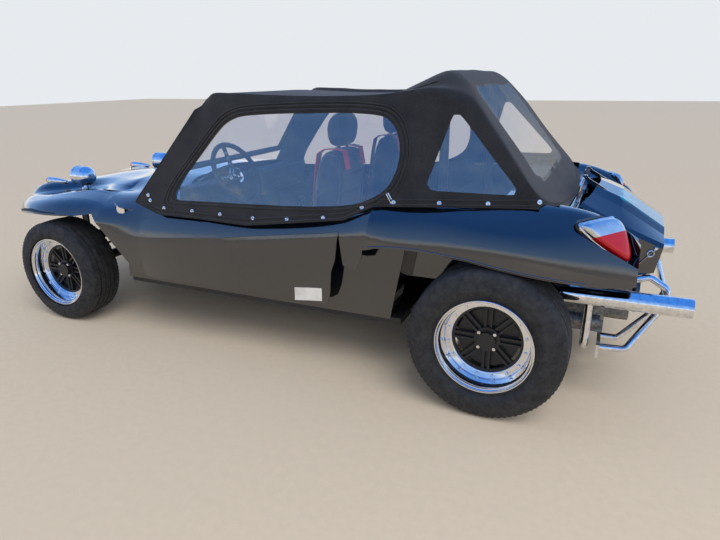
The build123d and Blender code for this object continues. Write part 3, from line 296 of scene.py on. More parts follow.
MATS = {
    "black_gelcoat": gelcoat(), "cover_paint": cover_paint(), "canvas": canvas(), "tyre": rubber(),
    "chassis_black": plastic("chassis_paint", (0.015, 0.015, 0.016), 0.45, 60.0),
    "chrome": metal("chrome", (0.78, 0.79, 0.81), 0.07),
    "rim_alloy": metal("polished_alloy", (0.82, 0.83, 0.85), 0.09, 12.0, 0.97, 1.03, 0.01),
    "centre_black": plastic("centre_paint", (0.012, 0.012, 0.013), 0.38, 80.0),
    "engine_alloy": metal("cast_alloy", (0.30, 0.29, 0.27), 0.5, 90.0, 0.5, 1.4, 0.4),
    "brass": metal("buckle_brass", (0.72, 0.42, 0.13), 0.25),
    "clear_vinyl": clear("clear_vinyl", (0.92, 0.95, 0.98), 0.03, 0.11, 0.010),
    "screen_glass": clear("screen_glass", (0.88, 0.94, 0.94), 0.02, 0.10, 0),
    "lamp_glass": clear("lamp_glass", (0.9, 0.92, 0.95), 0.03, 0.3, 0),
    "lamp_silver": metal("lamp_silver", (0.72, 0.74, 0.76), 0.16, 25.0, 0.85, 1.1, 0.03),
    "amber": plastic("amber_lens", (0.8, 0.17, 0.008), 0.12, 30.0, 0.02),
    "lamp_red": plastic("red_lens", (0.42, 0.004, 0.01), 0.09, 30.0, 0.02),
    "seat_trim": woven("seat_fabric", (0.02, 0.022, 0.028), 0.8, 420.0),
    "belt_red": woven("belt_webbing", (0.5, 0.02, 0.015), 0.7, 500.0),
    # painted shade: near-black rough plastic standing in for the shade in the front lip's hollow
    "lip_black": plastic("lip_painted_shade", (0.006, 0.006, 0.007), 0.55, 120.0, 0.1),
    "dash_black": plastic("dash_vinyl", (0.014, 0.014, 0.015), 0.55, 300.0),
    "label_white": plastic("blank_label", (0.72, 0.73, 0.73), 0.4, 60.0, 0.05),
}


def dress(node, key):
    obj = frame["nodes"][node]
    obj.data.materials.clear()
    obj.data.materials.append(MATS[key].material)


# Mesh making
@contextmanager
def editing(mesh):
    """The mesh to edit; the changes are written back at the end."""
    work = bmesh.new()
    work.from_mesh(mesh)
    yield work
    work.to_mesh(mesh)
    work.free()


def mesh_of(name, verts, faces):
    mesh = bpy.data.meshes.new(name)
    mesh.from_pydata([tuple(v) for v in verts], [], faces)
    return mesh


def piece(name, verts, faces, mat, body="chassis", slot=None, replaces=(), smooth=40.0):
    mesh = mesh_of(name, verts, faces)
    mesh.validate()
    with editing(mesh) as work:
        bmesh.ops.remove_doubles(work, verts=work.verts, dist=1e-5)
        bmesh.ops.dissolve_degenerate(work, dist=1e-6, edges=work.edges)
        bmesh.ops.recalc_face_normals(work, faces=work.faces)
    return finish_piece(linked(name, mesh), mat, body, replaces, smooth)


def finish_piece(obj, mat, body="chassis", replaces=(), smooth=40.0):
    obj.data.materials.clear()
    obj.data.materials.append(MATS[mat].material)
    for polygon in obj.data.polygons:
        polygon.use_smooth = True
    obj.data.set_sharp_from_angle(angle=math.radians(smooth))
    if body is not None:
        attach(obj, body)
        if replaces:
            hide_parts(*replaces)
    return obj


def modify(obj, kind, **settings):
    """Adds one modifier and applies it."""
    made = obj.modifiers.new(kind.lower(), kind)
    for key, value in settings.items():
        setattr(made, key, value)
    graph = bpy.context.evaluated_depsgraph_get()
    graph.update()
    mesh = bpy.data.meshes.new_from_object(obj.evaluated_get(graph))
    old = obj.data
    obj.modifiers.clear()
    obj.data = mesh
    bpy.data.meshes.remove(old)
    return obj


def drop(obj):
    bpy.data.objects.remove(obj, do_unlink=True)


def turns(count, start=0.0):
    """Angles at even steps round a circle."""
    return [2 * math.pi * (i + start) / count for i in range(count)]


def grid_faces(rows, columns, close_rows=False, close_columns=False):
    faces = []
    for i in range(rows if close_rows else rows - 1):
        for j in range(columns if close_columns else columns - 1):
            k, m = (i + 1) % rows, (j + 1) % columns
            faces.append((i * columns + j, i * columns + m, k * columns + m, k * columns + j))
    return faces


def end_faces(rows, columns):
    return [tuple(range(columns)), tuple(range((rows - 1) * columns, rows * columns))]


def slab(points, rows, columns, back):
    """A closed slab between a grid of points and the same grid moved by back."""
    count = len(points)
    faces = grid_faces(rows, columns)
    faces += [tuple(i + count for i in f[::-1]) for f in faces]
    rim = [i * columns for i in range(rows)] + [(rows - 1) * columns + k for k in range(1, columns)]
    rim += [i * columns + columns - 1 for i in range(rows - 2, -1, -1)] + list(range(columns - 2, 0, -1))
    faces += [(a, b, b + count, a + count) for a, b in zip(rim, rim[1:] + rim[:1])]
    return points + [p + back for p in points], faces


def tube_mesh(points, radius, sides=10, closed=False, flat=1.0):
    """Verts and faces of a tube along points; flat scales its height."""
    verts = []
    count = len(points)
    for i, point in enumerate(points):
        before = points[i - 1] if closed or i > 0 else point
        after = points[(i + 1) % count] if closed or i < count - 1 else point
        along = (after - before).normalized()
        side = Vector((0.02, 0.03, 1))
        if abs(along.dot(side)) > 0.97:
            side = Vector((1, 0.02, 0.01))
        u = along.cross(side).normalized()
        v = u.cross(along).normalized()
        verts += [point + u * math.cos(a) * radius + v * math.sin(a) * radius * flat for a in turns(sides)]
    faces = grid_faces(count, sides, closed, True)
    return verts, faces if closed else faces + end_faces(count, sides)


def joined(parts):
    verts, faces = [], []
    for more_verts, more_faces in parts:
        start = len(verts)
        verts += list(more_verts)
        faces += [tuple(start + i for i in face) for face in more_faces]
    return verts, faces


def lathe(profile, place, steps=96, axis=Vector((0, 1, 0)), closed=True):
    """Verts and faces of a (radius, distance along axis) profile turned about axis at place."""
    side = UP if abs(axis.z) < 0.9 else Vector((1, 0, 0))
    u = axis.cross(side).normalized()
    v = u.cross(axis).normalized()
    verts = []
    for a in turns(steps):
        verts += [place + (u * math.cos(a) + v * math.sin(a)) * r + axis * y for r, y in profile]
    return verts, grid_faces(steps, len(profile), True, closed)


def disc(radius, low, high):
    """The profile of a flat disc."""
    return [(0.0, low), (radius, low), (radius, high), (0.0, high)]


def rounded(points, times=3, share=0.25):
    """Corner cutting of a closed outline."""
    for _ in range(times):
        cut = []
        for i, (x, z) in enumerate(points):
            nx, nz = points[(i + 1) % len(points)]
            cut.append((x + (nx - x) * share, z + (nz - z) * share))
            cut.append((x + (nx - x) * (1 - share), z + (nz - z) * (1 - share)))
        points = cut
    return points


def spread(points, step, closed=True):
    """Points at an even step along a line."""
    loop = list(points) + ([points[0]] if closed else [])
    out, carry = [], 0.0
    for a, b in zip(loop, loop[1:]):
        a, b = Vector(a), Vector(b)
        length = (b - a).length
        place = carry
        while place < length:
            out.append(tuple(a.lerp(b, place / length)))
            place += step
        carry = place - length
    return out


def grown(points, by):
    """A closed (x, z) outline moved outwards by a distance, with its corners kept sharp."""
    area = sum(a[0] * b[1] - b[0] * a[1] for a, b in zip(points, points[1:] + points[:1]))
    sign = by if area > 0 else -by
    out = []
    for i, (x, z) in enumerate(points):
        (px, pz), (nx, nz) = points[i - 1], points[(i + 1) % len(points)]
        before, after = math.hypot(x - px, z - pz), math.hypot(nx - x, nz - z)
        ax, az = (z - pz) / before, (px - x) / before
        bx, bz = (nz - z) / after, (x - nx) / after
        share = sign / (1 + ax * bx + az * bz)
        out.append((x + (ax + bx) * share, z + (az + bz) * share))
    return out


def window_outline(window, grow):
    if window is SIDE_WINDOW:
        return rounded(grown(window, grow), 3)
    return rounded(grown(window, grow), 2, 0.08)


def line_at(table, x):
    """Straight-line reading of a table of (x, value...) rows sorted by x."""
    if x <= table[0][0]:
        return table[0][1:]
    for a, b in zip(table, table[1:]):
        if x <= b[0]:
            t = (x - a[0]) / (b[0] - a[0])
            return tuple(p + (q - p) * t for p, q in zip(a[1:], b[1:]))
    return table[-1][1:]


# Canvas top

# x, then z of the middle, then (y, z) of shoulder, roof edge and hem line
TOP_ROWS = [(-300, 1330, 430, 1325, 545, 1215, 648, 790), (290, 1330, 430, 1325, 545, 1215, 682, 760),
            (520, 1238, 430, 1230, 540, 1200, 718, 690), (1400, 1234, 430, 1230, 520, 1205, 668, 650),
            (1900, 1234, 430, 1230, 520, 1205, 668, 650)]
# The highest and the lowest line of the canvas in the side view, as (x, z)
TOP_CAP = [(-247, 787), (-128, 892), (164, 1262), (240, 1332), (300, 1400), (1402, 1400), (1422, 1222),
           (1806, 716)]
TOP_FOOT = [(-247, 783), (-236, 774), (-150, 838), (498, 802), (621, 738), (1123, 666), (1646, 668),
            (1806, 716)]
# x, then (y, z) of four points across the deck under the canvas
DECK_ROWS = [(-262, 300, 786, 450, 788, 584, 853, 742, 720), (-227, 300, 786, 450, 790, 584, 858, 742, 726),
             (100, 330, 818, 482, 820, 612, 848, 752, 742), (500, 340, 842, 500, 834, 640, 824, 742, 735)]
ROOF_FRONT = 1421
# Window openings: (x, z) in the side view, and (x, y) from above for the rear one
SIDE_WINDOW = [(1600, 738), (1462, 741), (634, 776), (460, 845), (410, 930), (403, 1030), (440, 1120),
               (526, 1168), (1150, 1150), (1260, 1125), (1330, 1070)]
QUARTER_WINDOW = [(206, 1190), (300, 872), (-88, 874)]
REAR_WINDOW = [(170, 420), (170, -420), (-124, -440), (-124, 440)]
SIDE_STEPS = 28
ROOF_STEPS = 36
FLAP_STEPS = 24
FLAP_FRONT = 1800
CANVAS = 0.0022
CANVAS_INSET = 0.003
PANE = 0.0012
PANE_INSET = 0.0035


def deck_height(x, y):
    row = line_at(DECK_ROWS, x)
    table = [(0, row[1])] + list(zip(row[0::2], row[1::2]))
    return line_at(table, abs(y))[0]


def top_half(x):
    """One half section from the hem over the edge to the middle."""
    middle, ys, zs, ye, ze, yh, zh = line_at(TOP_ROWS, x)
    cap = line_at(TOP_CAP, x)[0]
    foot = line_at(TOP_FOOT, x)[0]
    slope = (yh - ye) / (ze - zh)
    top = min(ze, cap)
    foot = min(foot, top)
    y_top = ye + slope * (ze - top)
    points = []
    for i in range(SIDE_STEPS):
        z = foot + (top - foot) * i / SIDE_STEPS
        points.append((ye + slope * (ze - z), z))
    for i in range(ROOF_STEPS + 1):
        y = y_top * (1 - i / ROOF_STEPS)
        z = cap
        if y < ye:
            z = min(cap, line_at([(0, middle), (ys, zs), (ye, ze)], y)[0])
        points.append((y, z))
    if x < 260:
        low = [k for k, (y, z) in enumerate(points) if z < deck_height(x, y) + 5]
        if low:
            hold = points[min(max(low) + 1, len(points) - 1)]
            points = [hold if k <= max(low) else p for k, p in enumerate(points)]
    return points


def top_stations():
    marks = [-245, -128, 164, 240, 290, 520, 1400, ROOF_FRONT]
    stations = []
    for a, b in zip(marks, marks[1:]):
        count = max(1, round((b - a) / 17))
        stations += [a + (b - a) * i / count for i in range(count)]
    return stations + [ROOF_FRONT]


def relax(grid, passes):
    rows, columns = len(grid), len(grid[0])
    for _ in range(passes):
        fresh = [row[:] for row in grid]
        for i in (0, rows - 1):
            for j in range(1, columns - 1):
                fresh[i][j] = grid[i][j].lerp((grid[i][j - 1] + grid[i][j + 1]) / 2, 0.6)
        for i in range(1, rows - 1):
            for j in range(1, columns - 1):
                mean = (grid[i - 1][j] + grid[i + 1][j] + grid[i][j - 1] + grid[i][j + 1]) / 4
                fresh[i][j] = grid[i][j].lerp(mean, 0.6)
        grid = fresh
    return grid


def cloth_fold(p):
    """Shallow waves of stretched canvas, in metres."""
    x, y, z = p
    broad = noise.noise(Vector((x * 2.6, y * 3.1, z * 2.2))) * 0.0055
    tight = noise.noise(Vector((x * 11 + z * 9, y * 7, z * 4 - x * 3))) * 0.0016
    return broad + tight


def canopy_mesh():
    grid = []
    for x in top_stations():
        half = top_half(x)
        sag = 0.0
        if 290 < x < 1400:
            sag = 15 * math.sin(math.pi * (x - 290) / 1110)
        row = [(y, z - sag * clamp((z - 1100) / 80)) for y, z in half]
        full = row + [(-y, z) for y, z in row[-2::-1]]
        grid.append([at(x, y, z) for y, z in full])
    grid = relax(grid, 9)
    columns = len(grid[0])
    verts = [v for row in grid for v in row]
    faces = grid_faces(len(grid), columns)
    # the flaps ahead of the roof, down to the windscreen's foot
    for side in (1, -1):
        edge = grid[-1][:SIDE_STEPS + 1] if side > 0 else grid[-1][::-1][:SIDE_STEPS + 1]
        start = len(verts)
        verts += edge
        for i in range(1, FLAP_STEPS + 1):
            x = ROOF_FRONT + (FLAP_FRONT - ROOF_FRONT) * i / FLAP_STEPS
            row = top_half(x)[:SIDE_STEPS + 1]
            blend_in = min(1.0, i / 3)
            base = top_half(ROOF_FRONT)[:SIDE_STEPS + 1]
            for j, (y, z) in enumerate(row):
                carry = edge[j] - at(ROOF_FRONT, side * base[j][0], base[j][1])
                verts.append(at(x, side * y, z) + carry * (1 - blend_in))
        faces += [tuple(start + k for k in f) for f in grid_faces(FLAP_STEPS + 1, SIDE_STEPS + 1)]
    mesh = mesh_of("canopy_base", verts, faces)
    with editing(mesh) as work:
        bmesh.ops.remove_doubles(work, verts=work.verts, dist=0.0004)
        bmesh.ops.dissolve_degenerate(work, dist=0.0003, edges=work.edges)
        bmesh.ops.recalc_face_normals(work, faces=work.faces)
        work.normal_update()
        top_face = max(work.faces, key=lambda f: f.calc_center_median().z)
        if top_face.normal.z < 0:
            bmesh.ops.reverse_faces(work, faces=work.faces)
        work.normal_update()
        moves = [(v, v.normal.copy() * cloth_fold(v.co)) for v in work.verts if not v.is_boundary]
        for v, move in moves:
            v.co += move - v.normal * CANVAS_INSET
    return mesh


def prism(outline, low, high, axis="y"):
    """A closed prism of an outline in the side view, or in the top view."""
    count = len(outline)
    verts = []
    for level in (low, high):
        for a, b in outline:
            verts.append(at(a, level, b) if axis == "y" else at(a, b, level))
    faces = [tuple(range(count)), tuple(range(2 * count - 1, count - 1, -1))]
    faces += [(i, (i + 1) % count, count + (i + 1) % count, count + i) for i in range(count)]
    return verts, faces


def window_cutter(name, grow):
    side, quarter, rear = (window_outline(w, grow) for w in (SIDE_WINDOW, QUARTER_WINDOW, REAR_WINDOW))
    parts = [prism(outline, *span) for span in ((450, 900), (-900, -450)) for outline in (side, quarter)]
    mesh = mesh_of(name, *joined(parts + [prism(rear, 880, 1262, "z")]))
    with editing(mesh) as work:
        bmesh.ops.recalc_face_normals(work, faces=work.faces)
    return linked(name, mesh)


def surface_finder(mesh):
    work = bmesh.new()
    work.from_mesh(mesh)
    tree = BVHTree.FromBMesh(work)
    work.free()
    return tree


def on_side(tree, x, z, side, out=0.0):
    """Point and outward normal where a ray from the side meets a surface."""
    start = at(x, side * 1400, z)
    place, normal, _, _ = tree.ray_cast(start, Vector((0, -side, 0)))
    if place is None:
        return None, None
    if normal.y * side < 0:
        normal = -normal
    return place + normal * out, normal


def traced(tree, spots, side, out):
    """Where rays from the side at (x, z) spots meet a surface."""
    places = [on_side(tree, x, z, side, out)[0] for x, z in spots]
    return [p for p in places if p is not None]


def canopy():
    base = canopy_mesh()
    finder = surface_finder(base)
    cloth = linked("canopy_cloth", base.copy())
    hole = window_cutter("window_hole", -4)
    modify(cloth, "BOOLEAN", operation="DIFFERENCE", object=hole, solver="EXACT")
    drop(hole)
    with editing(cloth.data) as work:
        stray = [f for f in work.faces if finder.find_nearest(f.calc_center_median())[3] > 0.0012]
        bmesh.ops.delete(work, geom=stray, context="FACES")
    modify(cloth, "SOLIDIFY", thickness=CANVAS, offset=-1.0)
    finish_piece(cloth, "canvas", replaces=("soft_top",), smooth=50.0)
    panes = linked("window_panes", base.copy())
    modify(panes, "SOLIDIFY", thickness=PANE, offset=-1.0)
    for v in panes.data.vertices:
        v.co.y += noise.noise(v.co * 17.0) * 0.0022 + noise.noise(v.co * 6.0) * 0.003
        v.co.y -= PANE_INSET if v.co.y > 0 else -PANE_INSET
    glass = window_cutter("window_glass", 6)
    modify(panes, "BOOLEAN", operation="INTERSECT", object=glass, solver="EXACT")
    drop(glass)
    finish_piece(panes, "clear_vinyl", replaces=("soft_windows",), smooth=60.0)
    return finder


# Places of the turn buttons, as (x, z) in the side view
BUTTON_SPOTS = [(1722, 755), (1707, 731), (1616, 700), (1443, 700), (1274, 700), (1085, 700), (902, 714),
                (719, 738), (543, 796), (411, 824), (226, 832), (40, 842), (-140, 856)]
ZIP_PULL = ((-0.022, -0.005), (0.022, -0.004), (0.022, 0.004), (-0.022, 0.005))
BUTTON_RING = [(0.004, 0.0), (0.0085, 0.0), (0.0095, 0.0014), (0.0085, 0.0026), (0.004, 0.0026)]


def canopy_trim(finder):
    piping, hem, seams, buttons, rings, pulls = [], [], [], [], [], []
    for side in (1, -1):
        for grow, radius in ((10, 0.0038), (27, 0.0042), (39, 0.0030)):
            spots = spread(window_outline(SIDE_WINDOW, grow), 22)
            if grow > 12:
                spots = [(x, z) for x, z in spots if z >= 780 or not 560 < x < 1560]
            points = traced(finder, spots, side, 0.0018)
            if grow > 12:
                gap = max(range(len(points)), key=lambda i: (points[i] - points[i - 1]).length)
                points = points[gap:] + points[:gap]
            piping.append(tube_mesh(points, radius, 8, closed=grow < 12))
        for lift in (7, 26):
            spots = [(x, line_at(TOP_FOOT, x)[0] + lift) for x in range(1770, -150, -20)]
            hem.append(tube_mesh(traced(finder, spots, side, 0.001), 0.0034, 8))
        ridge = []
        for x in range(300, 1401, 25):
            place = finder.ray_cast(Vector((at(x, 0, 0).x, side * 0.47, 2.0)), -UP)[0]
            if place is not None:
                ridge.append(place + UP * 0.0006)
        seams.append(tube_mesh(ridge, 0.0032, 8))
        for x, z in BUTTON_SPOTS:
            place, normal = on_side(finder, x, z, side, 0.001)
            if place is None:
                continue
            rings.append(lathe(BUTTON_RING, place, 20, normal))
            lean = Matrix.Rotation(0.5 * math.sin(x), 3, normal)
            turn = [lean @ Vector((0.007 * a, 0, 0.0022 * b)) for a, b in SQUARE]
            buttons.append(([place + v + normal * h for h in (0.002, 0.006) for v in turn], BLOCK))
        place, normal = on_side(finder, 428, 838, side, 0.004)
        along = Vector((0.5, 0, 0.86))
        over = along.cross(normal).normalized()
        ring = [place + along * a + over * b for a, b in ZIP_PULL]
        pulls.append(tube_mesh(ring, 0.0022, 8, closed=True))
    piece("window_piping", *joined(piping), "canvas", smooth=60.0)
    piece("canopy_hem", *joined(hem), "canvas", smooth=60.0)
    piece("canopy_seams", *joined(seams), "canvas", smooth=60.0)
    piece("turn_button_rings", *joined(rings), "chrome")
    piece("turn_buttons", *joined(buttons), "chrome")
    piece("zip_pulls", *joined(pulls), "chrome")


# Wheels

# x of the axle, then radius, width, rim width, y of the outer flange, depth of the dish
WHEELS = {
    "front": (XF, 0.285, 0.208, 0.190, 0.716, 0.062),
    "rear": (XR, 0.312, 0.240, 0.216, 0.785, 0.078),
}
TYRE_STEPS = 168
TREAD_RIBS = 5
GROOVE_TOP, GROOVE_FOOT = 0.0035, 0.0028
GROOVE_SHARE = 0.973
CROWN_FALL = 0.0045
LUG_DEPTH = 0.0032
RIM_BOLTS, RIM_BOLT_R = 16, 0.1555
HUB_NUTS, HUB_NUT_R = 4, 0.044


def tyre_profile(radius, width, rim_width):
    half = rim_width / 2 - 0.009
    side = width / 2
    points = [(0.179, half), (0.197, half + 0.002), (0.203, half + 0.006), (0.206, half + 0.005),
              (radius * 0.70, side * 0.972), (radius * 0.735, side * 0.992), (radius * 0.742, side * 0.999),
              (radius * 0.80, side * 0.999), (radius * 0.81, side * 0.990), (radius * 0.86, side * 0.972),
              (radius * 0.90, side * 0.945), (radius * 0.94, side * 0.908), (radius * 0.962, side * 0.872),
              (radius * 0.978, side * 0.835), (radius * 0.988, side * 0.79)]
    crown = []
    half_tread = side * 0.74
    for i in range(TREAD_RIBS):
        a = half_tread - 2 * half_tread * i / TREAD_RIBS
        b = half_tread - 2 * half_tread * (i + 1) / TREAD_RIBS
        crown += [(a - GROOVE_TOP, 1.0), (b + GROOVE_TOP, 1.0)]
        if i < TREAD_RIBS - 1:
            crown += [(b + GROOVE_FOOT, GROOVE_SHARE), (b - GROOVE_FOOT, GROOVE_SHARE)]
    tread = [(radius * share - CROWN_FALL * (y / half_tread) ** 2, y) for y, share in crown]
    return points + tread + [(r, -y) for r, y in points[::-1]]


def tyre(end, name, side):
    x, radius, width, rim_width, flange, _ = WHEELS[end]
    profile = tyre_profile(radius, width, rim_width)
    place = Vector((x, side * (flange - rim_width / 2), radius))
    verts, faces = lathe(profile, place, TYRE_STEPS)
    count = len(profile)
    shoulder = [k for k, (r, y) in enumerate(profile)
                if radius * 0.93 < r < radius * 0.99 and abs(y) > width * 0.36]
    for i in range(0, TYRE_STEPS, 2):
        for k in shoulder:
            v = verts[i * count + k]
            verts[i * count + k] = v + (place - v).normalized() * LUG_DEPTH
    piece("tyre_tread_" + name, verts, faces, "tyre", "wheel_" + name, "tyre", ("tyre_" + name,), 35.0)


def rim(end, name, side):
    x, radius, width, rim_width, flange, depth = WHEELS[end]
    place = Vector((x, 0, radius))
    inner = flange - rim_width
    ring = flange - depth
    points = [(0.192, flange), (0.194, flange - 0.002), (0.194, flange - 0.007), (0.192, flange - 0.0085),
              (0.1785, flange - 0.0085), (0.178, inner + 0.0085), (0.193, inner + 0.008), (0.194, inner),
              (0.172, inner), (0.172, ring - 0.008), (0.141, ring - 0.008), (0.141, ring - 0.001),
              (0.142, ring), (0.167, ring), (0.1695, ring + 0.002), (0.1715, ring + 0.008),
              (0.172, ring + 0.012), (0.1735, flange - 0.030), (0.176, flange - 0.019),
              (0.181, flange - 0.010), (0.1865, flange - 0.004), (0.188, flange)]
    verts, faces = lathe([(r, side * y) for r, y in points], place, 128)
    piece("polished_rim_" + name, verts, faces, "rim_alloy", "wheel_" + name, "rim_alloy",
          ("rim_" + name,), 38.0)
    out = Vector((0, side, 0))
    bolts, nuts = [], []
    for a in turns(RIM_BOLTS, 0.5):
        centre = place + Vector((math.cos(a) * RIM_BOLT_R, side * ring, math.sin(a) * RIM_BOLT_R))
        bolts.append(lathe(disc(0.0085, -0.001, 0.0012), centre, 16, out, False))
        bolts.append(lathe([(0.0, 0.001), (0.0066, 0.001), (0.0066, 0.006), (0.0056, 0.0072), (0.0, 0.0072)],
                           centre, 6, out, False))
    piece("rim_bolts_" + name, *joined(bolts), "chrome", "wheel_" + name, "rim_alloy", smooth=30.0)
    for a in turns(HUB_NUTS, 0.5):
        centre = place + Vector((math.cos(a) * HUB_NUT_R, side * (ring - 0.002), math.sin(a) * HUB_NUT_R))
        nuts.append(lathe([(0.0, -0.001), (0.0085, -0.001), (0.0085, 0.010), (0.007, 0.013), (0.0, 0.013)],
                          centre, 6, out, False))
    piece("hub_nuts_" + name, *joined(nuts), "chrome", "wheel_" + name, "centre_black", smooth=30.0)


# Seats, bench and belts
def superellipse_loft(rows, power=3.2, steps=40):
    """rows: (z, x rear, x front, half width); verts and faces of a closed form, centred on y = 0."""
    verts = []
    for z, rear, front, half in rows:
        for a in turns(steps):
            ex, ey = (math.copysign(abs(c) ** (2 / power), c) for c in (math.cos(a), math.sin(a)))
            verts.append(at((rear + front) / 2 + (front - rear) / 2 * ex, half * ey, z))
    return verts, grid_faces(len(rows), steps, False, True) + end_faces(len(rows), steps)


SEAT_Y = 0.340
CLOTH_FRAMES = 14


def padding(obj, voxel, pressure, cap):
    """Swells a closed pad with cloth under pressure and keeps it near its first shape."""
    with editing(obj.data) as work:
        bmesh.ops.recalc_face_normals(work, faces=work.faces)
    modify(obj, "REMESH", mode="VOXEL", voxel_size=voxel)
    start = [v.co.copy() for v in obj.data.vertices]
    cloth = obj.modifiers.new("cloth", "CLOTH")
    cloth.settings.use_pressure = True
    cloth.settings.uniform_pressure_force = pressure
    cloth.settings.effector_weights.gravity = 0.0
    cloth.settings.quality = 4
    cloth.settings.mass = 0.3
    cloth.settings.tension_stiffness = 18
    cloth.settings.compression_stiffness = 18
    cloth.settings.bending_stiffness = 1.5
    scene = bpy.context.scene
    for number in range(1, CLOTH_FRAMES + 1):
        scene.frame_set(number)
    graph = bpy.context.evaluated_depsgraph_get()
    swollen = obj.evaluated_get(graph).to_mesh()
    moved = []
    for v, co in zip(swollen.vertices, start):
        step = v.co - co
        if step.length > cap:
            step = step.normalized() * cap
        moved.append(co + step)
    obj.evaluated_get(graph).to_mesh_clear()
    obj.modifiers.clear()
    for v, co in zip(obj.data.vertices, moved):
        v.co = co
    scene.frame_set(1)


def pad(name, rows, voxel, pressure, cap, groove, power=3.2):
    """A closed padded form; groove gives how far a point sinks at its seams."""
    obj = linked(name, mesh_of(name, *superellipse_loft(rows, power)))
    padding(obj, voxel, pressure, cap)
    with editing(obj.data) as work:
        bmesh.ops.smooth_vert(work, verts=work.verts, factor=0.5, use_axis_x=True, use_axis_y=True,
                              use_axis_z=True)
        work.normal_update()
        moves = [(v, v.normal * -groove(v.co)) for v in work.verts]
        for v, move in moves:
            v.co += move
    return obj


def channel(distance, width, depth):
    return depth * math.exp(-(distance / width) ** 2)


def quilted(border, depth, along, marks):
    """Grooves at a border line and across the panel inside it; all in millimetres but the depth."""
    def groove(co):
        y = abs(co.y) * 1000
        sink = channel(y - border, 5, depth)
        if y < border:
            sink += sum(channel(along(co) - mark, 5, 0.004) for mark in marks)
        return sink
    return groove


def seats():
    def head_groove(co):
        return channel(abs(co.y) * 1000 - 96, 4, 0.003)

    cushion_groove = quilted(128, 0.006, lambda co: (co.x - XR) * 1000, (900, 980, 1060, 1140))
    back_groove = quilted(122, 0.006, lambda co: co.z * 1000, (560, 640, 720, 800, 880))
    # Each row is z, rear x, front x and half width
    base_rows = [(366, 815, 1215, 185), (380, 806, 1228, 205), (430, 802, 1236, 216), (468, 806, 1236, 217),
                 (488, 822, 1226, 208), (497, 850, 1200, 180)]
    back_rows = [(432, 800, 896, 178), (470, 788, 902, 202), (560, 778, 893, 212), (650, 768, 880, 212),
                 (760, 755, 866, 204), (860, 743, 853, 194), (930, 738, 845, 178), (968, 740, 838, 150),
                 (982, 750, 826, 118)]
    head_rows = [(1000, 766, 806, 60), (1012, 750, 822, 88), (1040, 740, 831, 104), (1080, 735, 832, 110),
                 (1112, 737, 826, 103), (1134, 746, 812, 84), (1145, 762, 798, 52)]
    voxel = 0.006
    made = [pad("seat_cushion", base_rows, voxel, 4.0, 0.010, cushion_groove, 4.0),
            pad("seat_back", back_rows, voxel, 4.0, 0.010, back_groove, 3.4),
            pad("headrest", head_rows, voxel, 3.0, 0.006, head_groove, 2.7)]
    runners = [tube_mesh([at(x, shift, 276) for x in (842, 900, 1100, 1198)], 0.008, 8)
               for shift in (-160, 160)]
    for x in (880, 1160):
        runners += [tube_mesh([at(x, shift, 272), at(x, shift, 376)], 0.010, 8) for shift in (-160, 160)]
    runners += [tube_mesh([at(782, shift, 968), at(786, shift, 1014)], 0.006, 10) for shift in (-42, 42)]
    for name, side in SIDES:
        for master in made:
            obj = linked(master.name + "_" + name, master.data.copy())
            for v in obj.data.vertices:
                v.co.y = v.co.y * side + side * SEAT_Y
            if side < 0:
                obj.data.flip_normals()
            stands_for = ("seat_" + name,) if master is made[0] else ()
            finish_piece(obj, "seat_trim", replaces=stands_for, smooth=70.0)
        verts, faces = joined(runners)
        piece("seat_frame_" + name, [v + Vector((0, side * SEAT_Y, 0)) for v in verts], faces,
              "chassis_black", slot="seat_trim")
    for master in made:
        drop(master)


def bench():
    def groove(co):
        y = abs(co.y) * 1000
        return channel(y, 5, 0.006) + channel(y - 235, 5, 0.005)

    rows = [(474, 318, 572, 452), (484, 306, 584, 464), (515, 303, 588, 467), (540, 307, 584, 463),
            (552, 326, 566, 440)]
    obj = pad("bench_cushion", rows, 0.007, 4.0, 0.006, groove, 5.0)
    finish_piece(obj, "seat_trim", replaces=("rear_bench",), smooth=70.0)


def strap(points, width, thick):
    """A flat strap along points given with the direction of its width."""
    verts, count = [], len(points)
    for i, (p, across) in enumerate(points):
        before = points[max(0, i - 1)][0]
        after = points[min(count - 1, i + 1)][0]
        along = (after - before).normalized()
        over = along.cross(across).normalized()
        verts += [p + across * width / 2 * a + over * thick / 2 * b for a, b in SQUARE]
    return verts, grid_faces(count, 4, False, True) + end_faces(count, 4)


# The shoulder strap in the side view as (x, z), and the lap strap as (x, y from the seat's middle)
SHOULDER_PATH = [(716, 905), (730, 985), (770, 993), (832, 989), (852, 970), (868, 900), (884, 790),
                 (896, 690), (908, 600), (916, 530), (926, 512)]
LAP_PATH = [(930, 230), (934, 190), (932, 120), (928, 60), (928, 0), (928, -60), (932, -120),
            (934, -190), (930, -230)]
WEBBING = (0.048, 0.003)
SHOULDER_SPREAD = 85
LAP_BUCKLE = [(0.0, -0.004), (0.030, -0.004), (0.033, 0.002), (0.030, 0.009), (0.012, 0.011), (0.0, 0.011)]


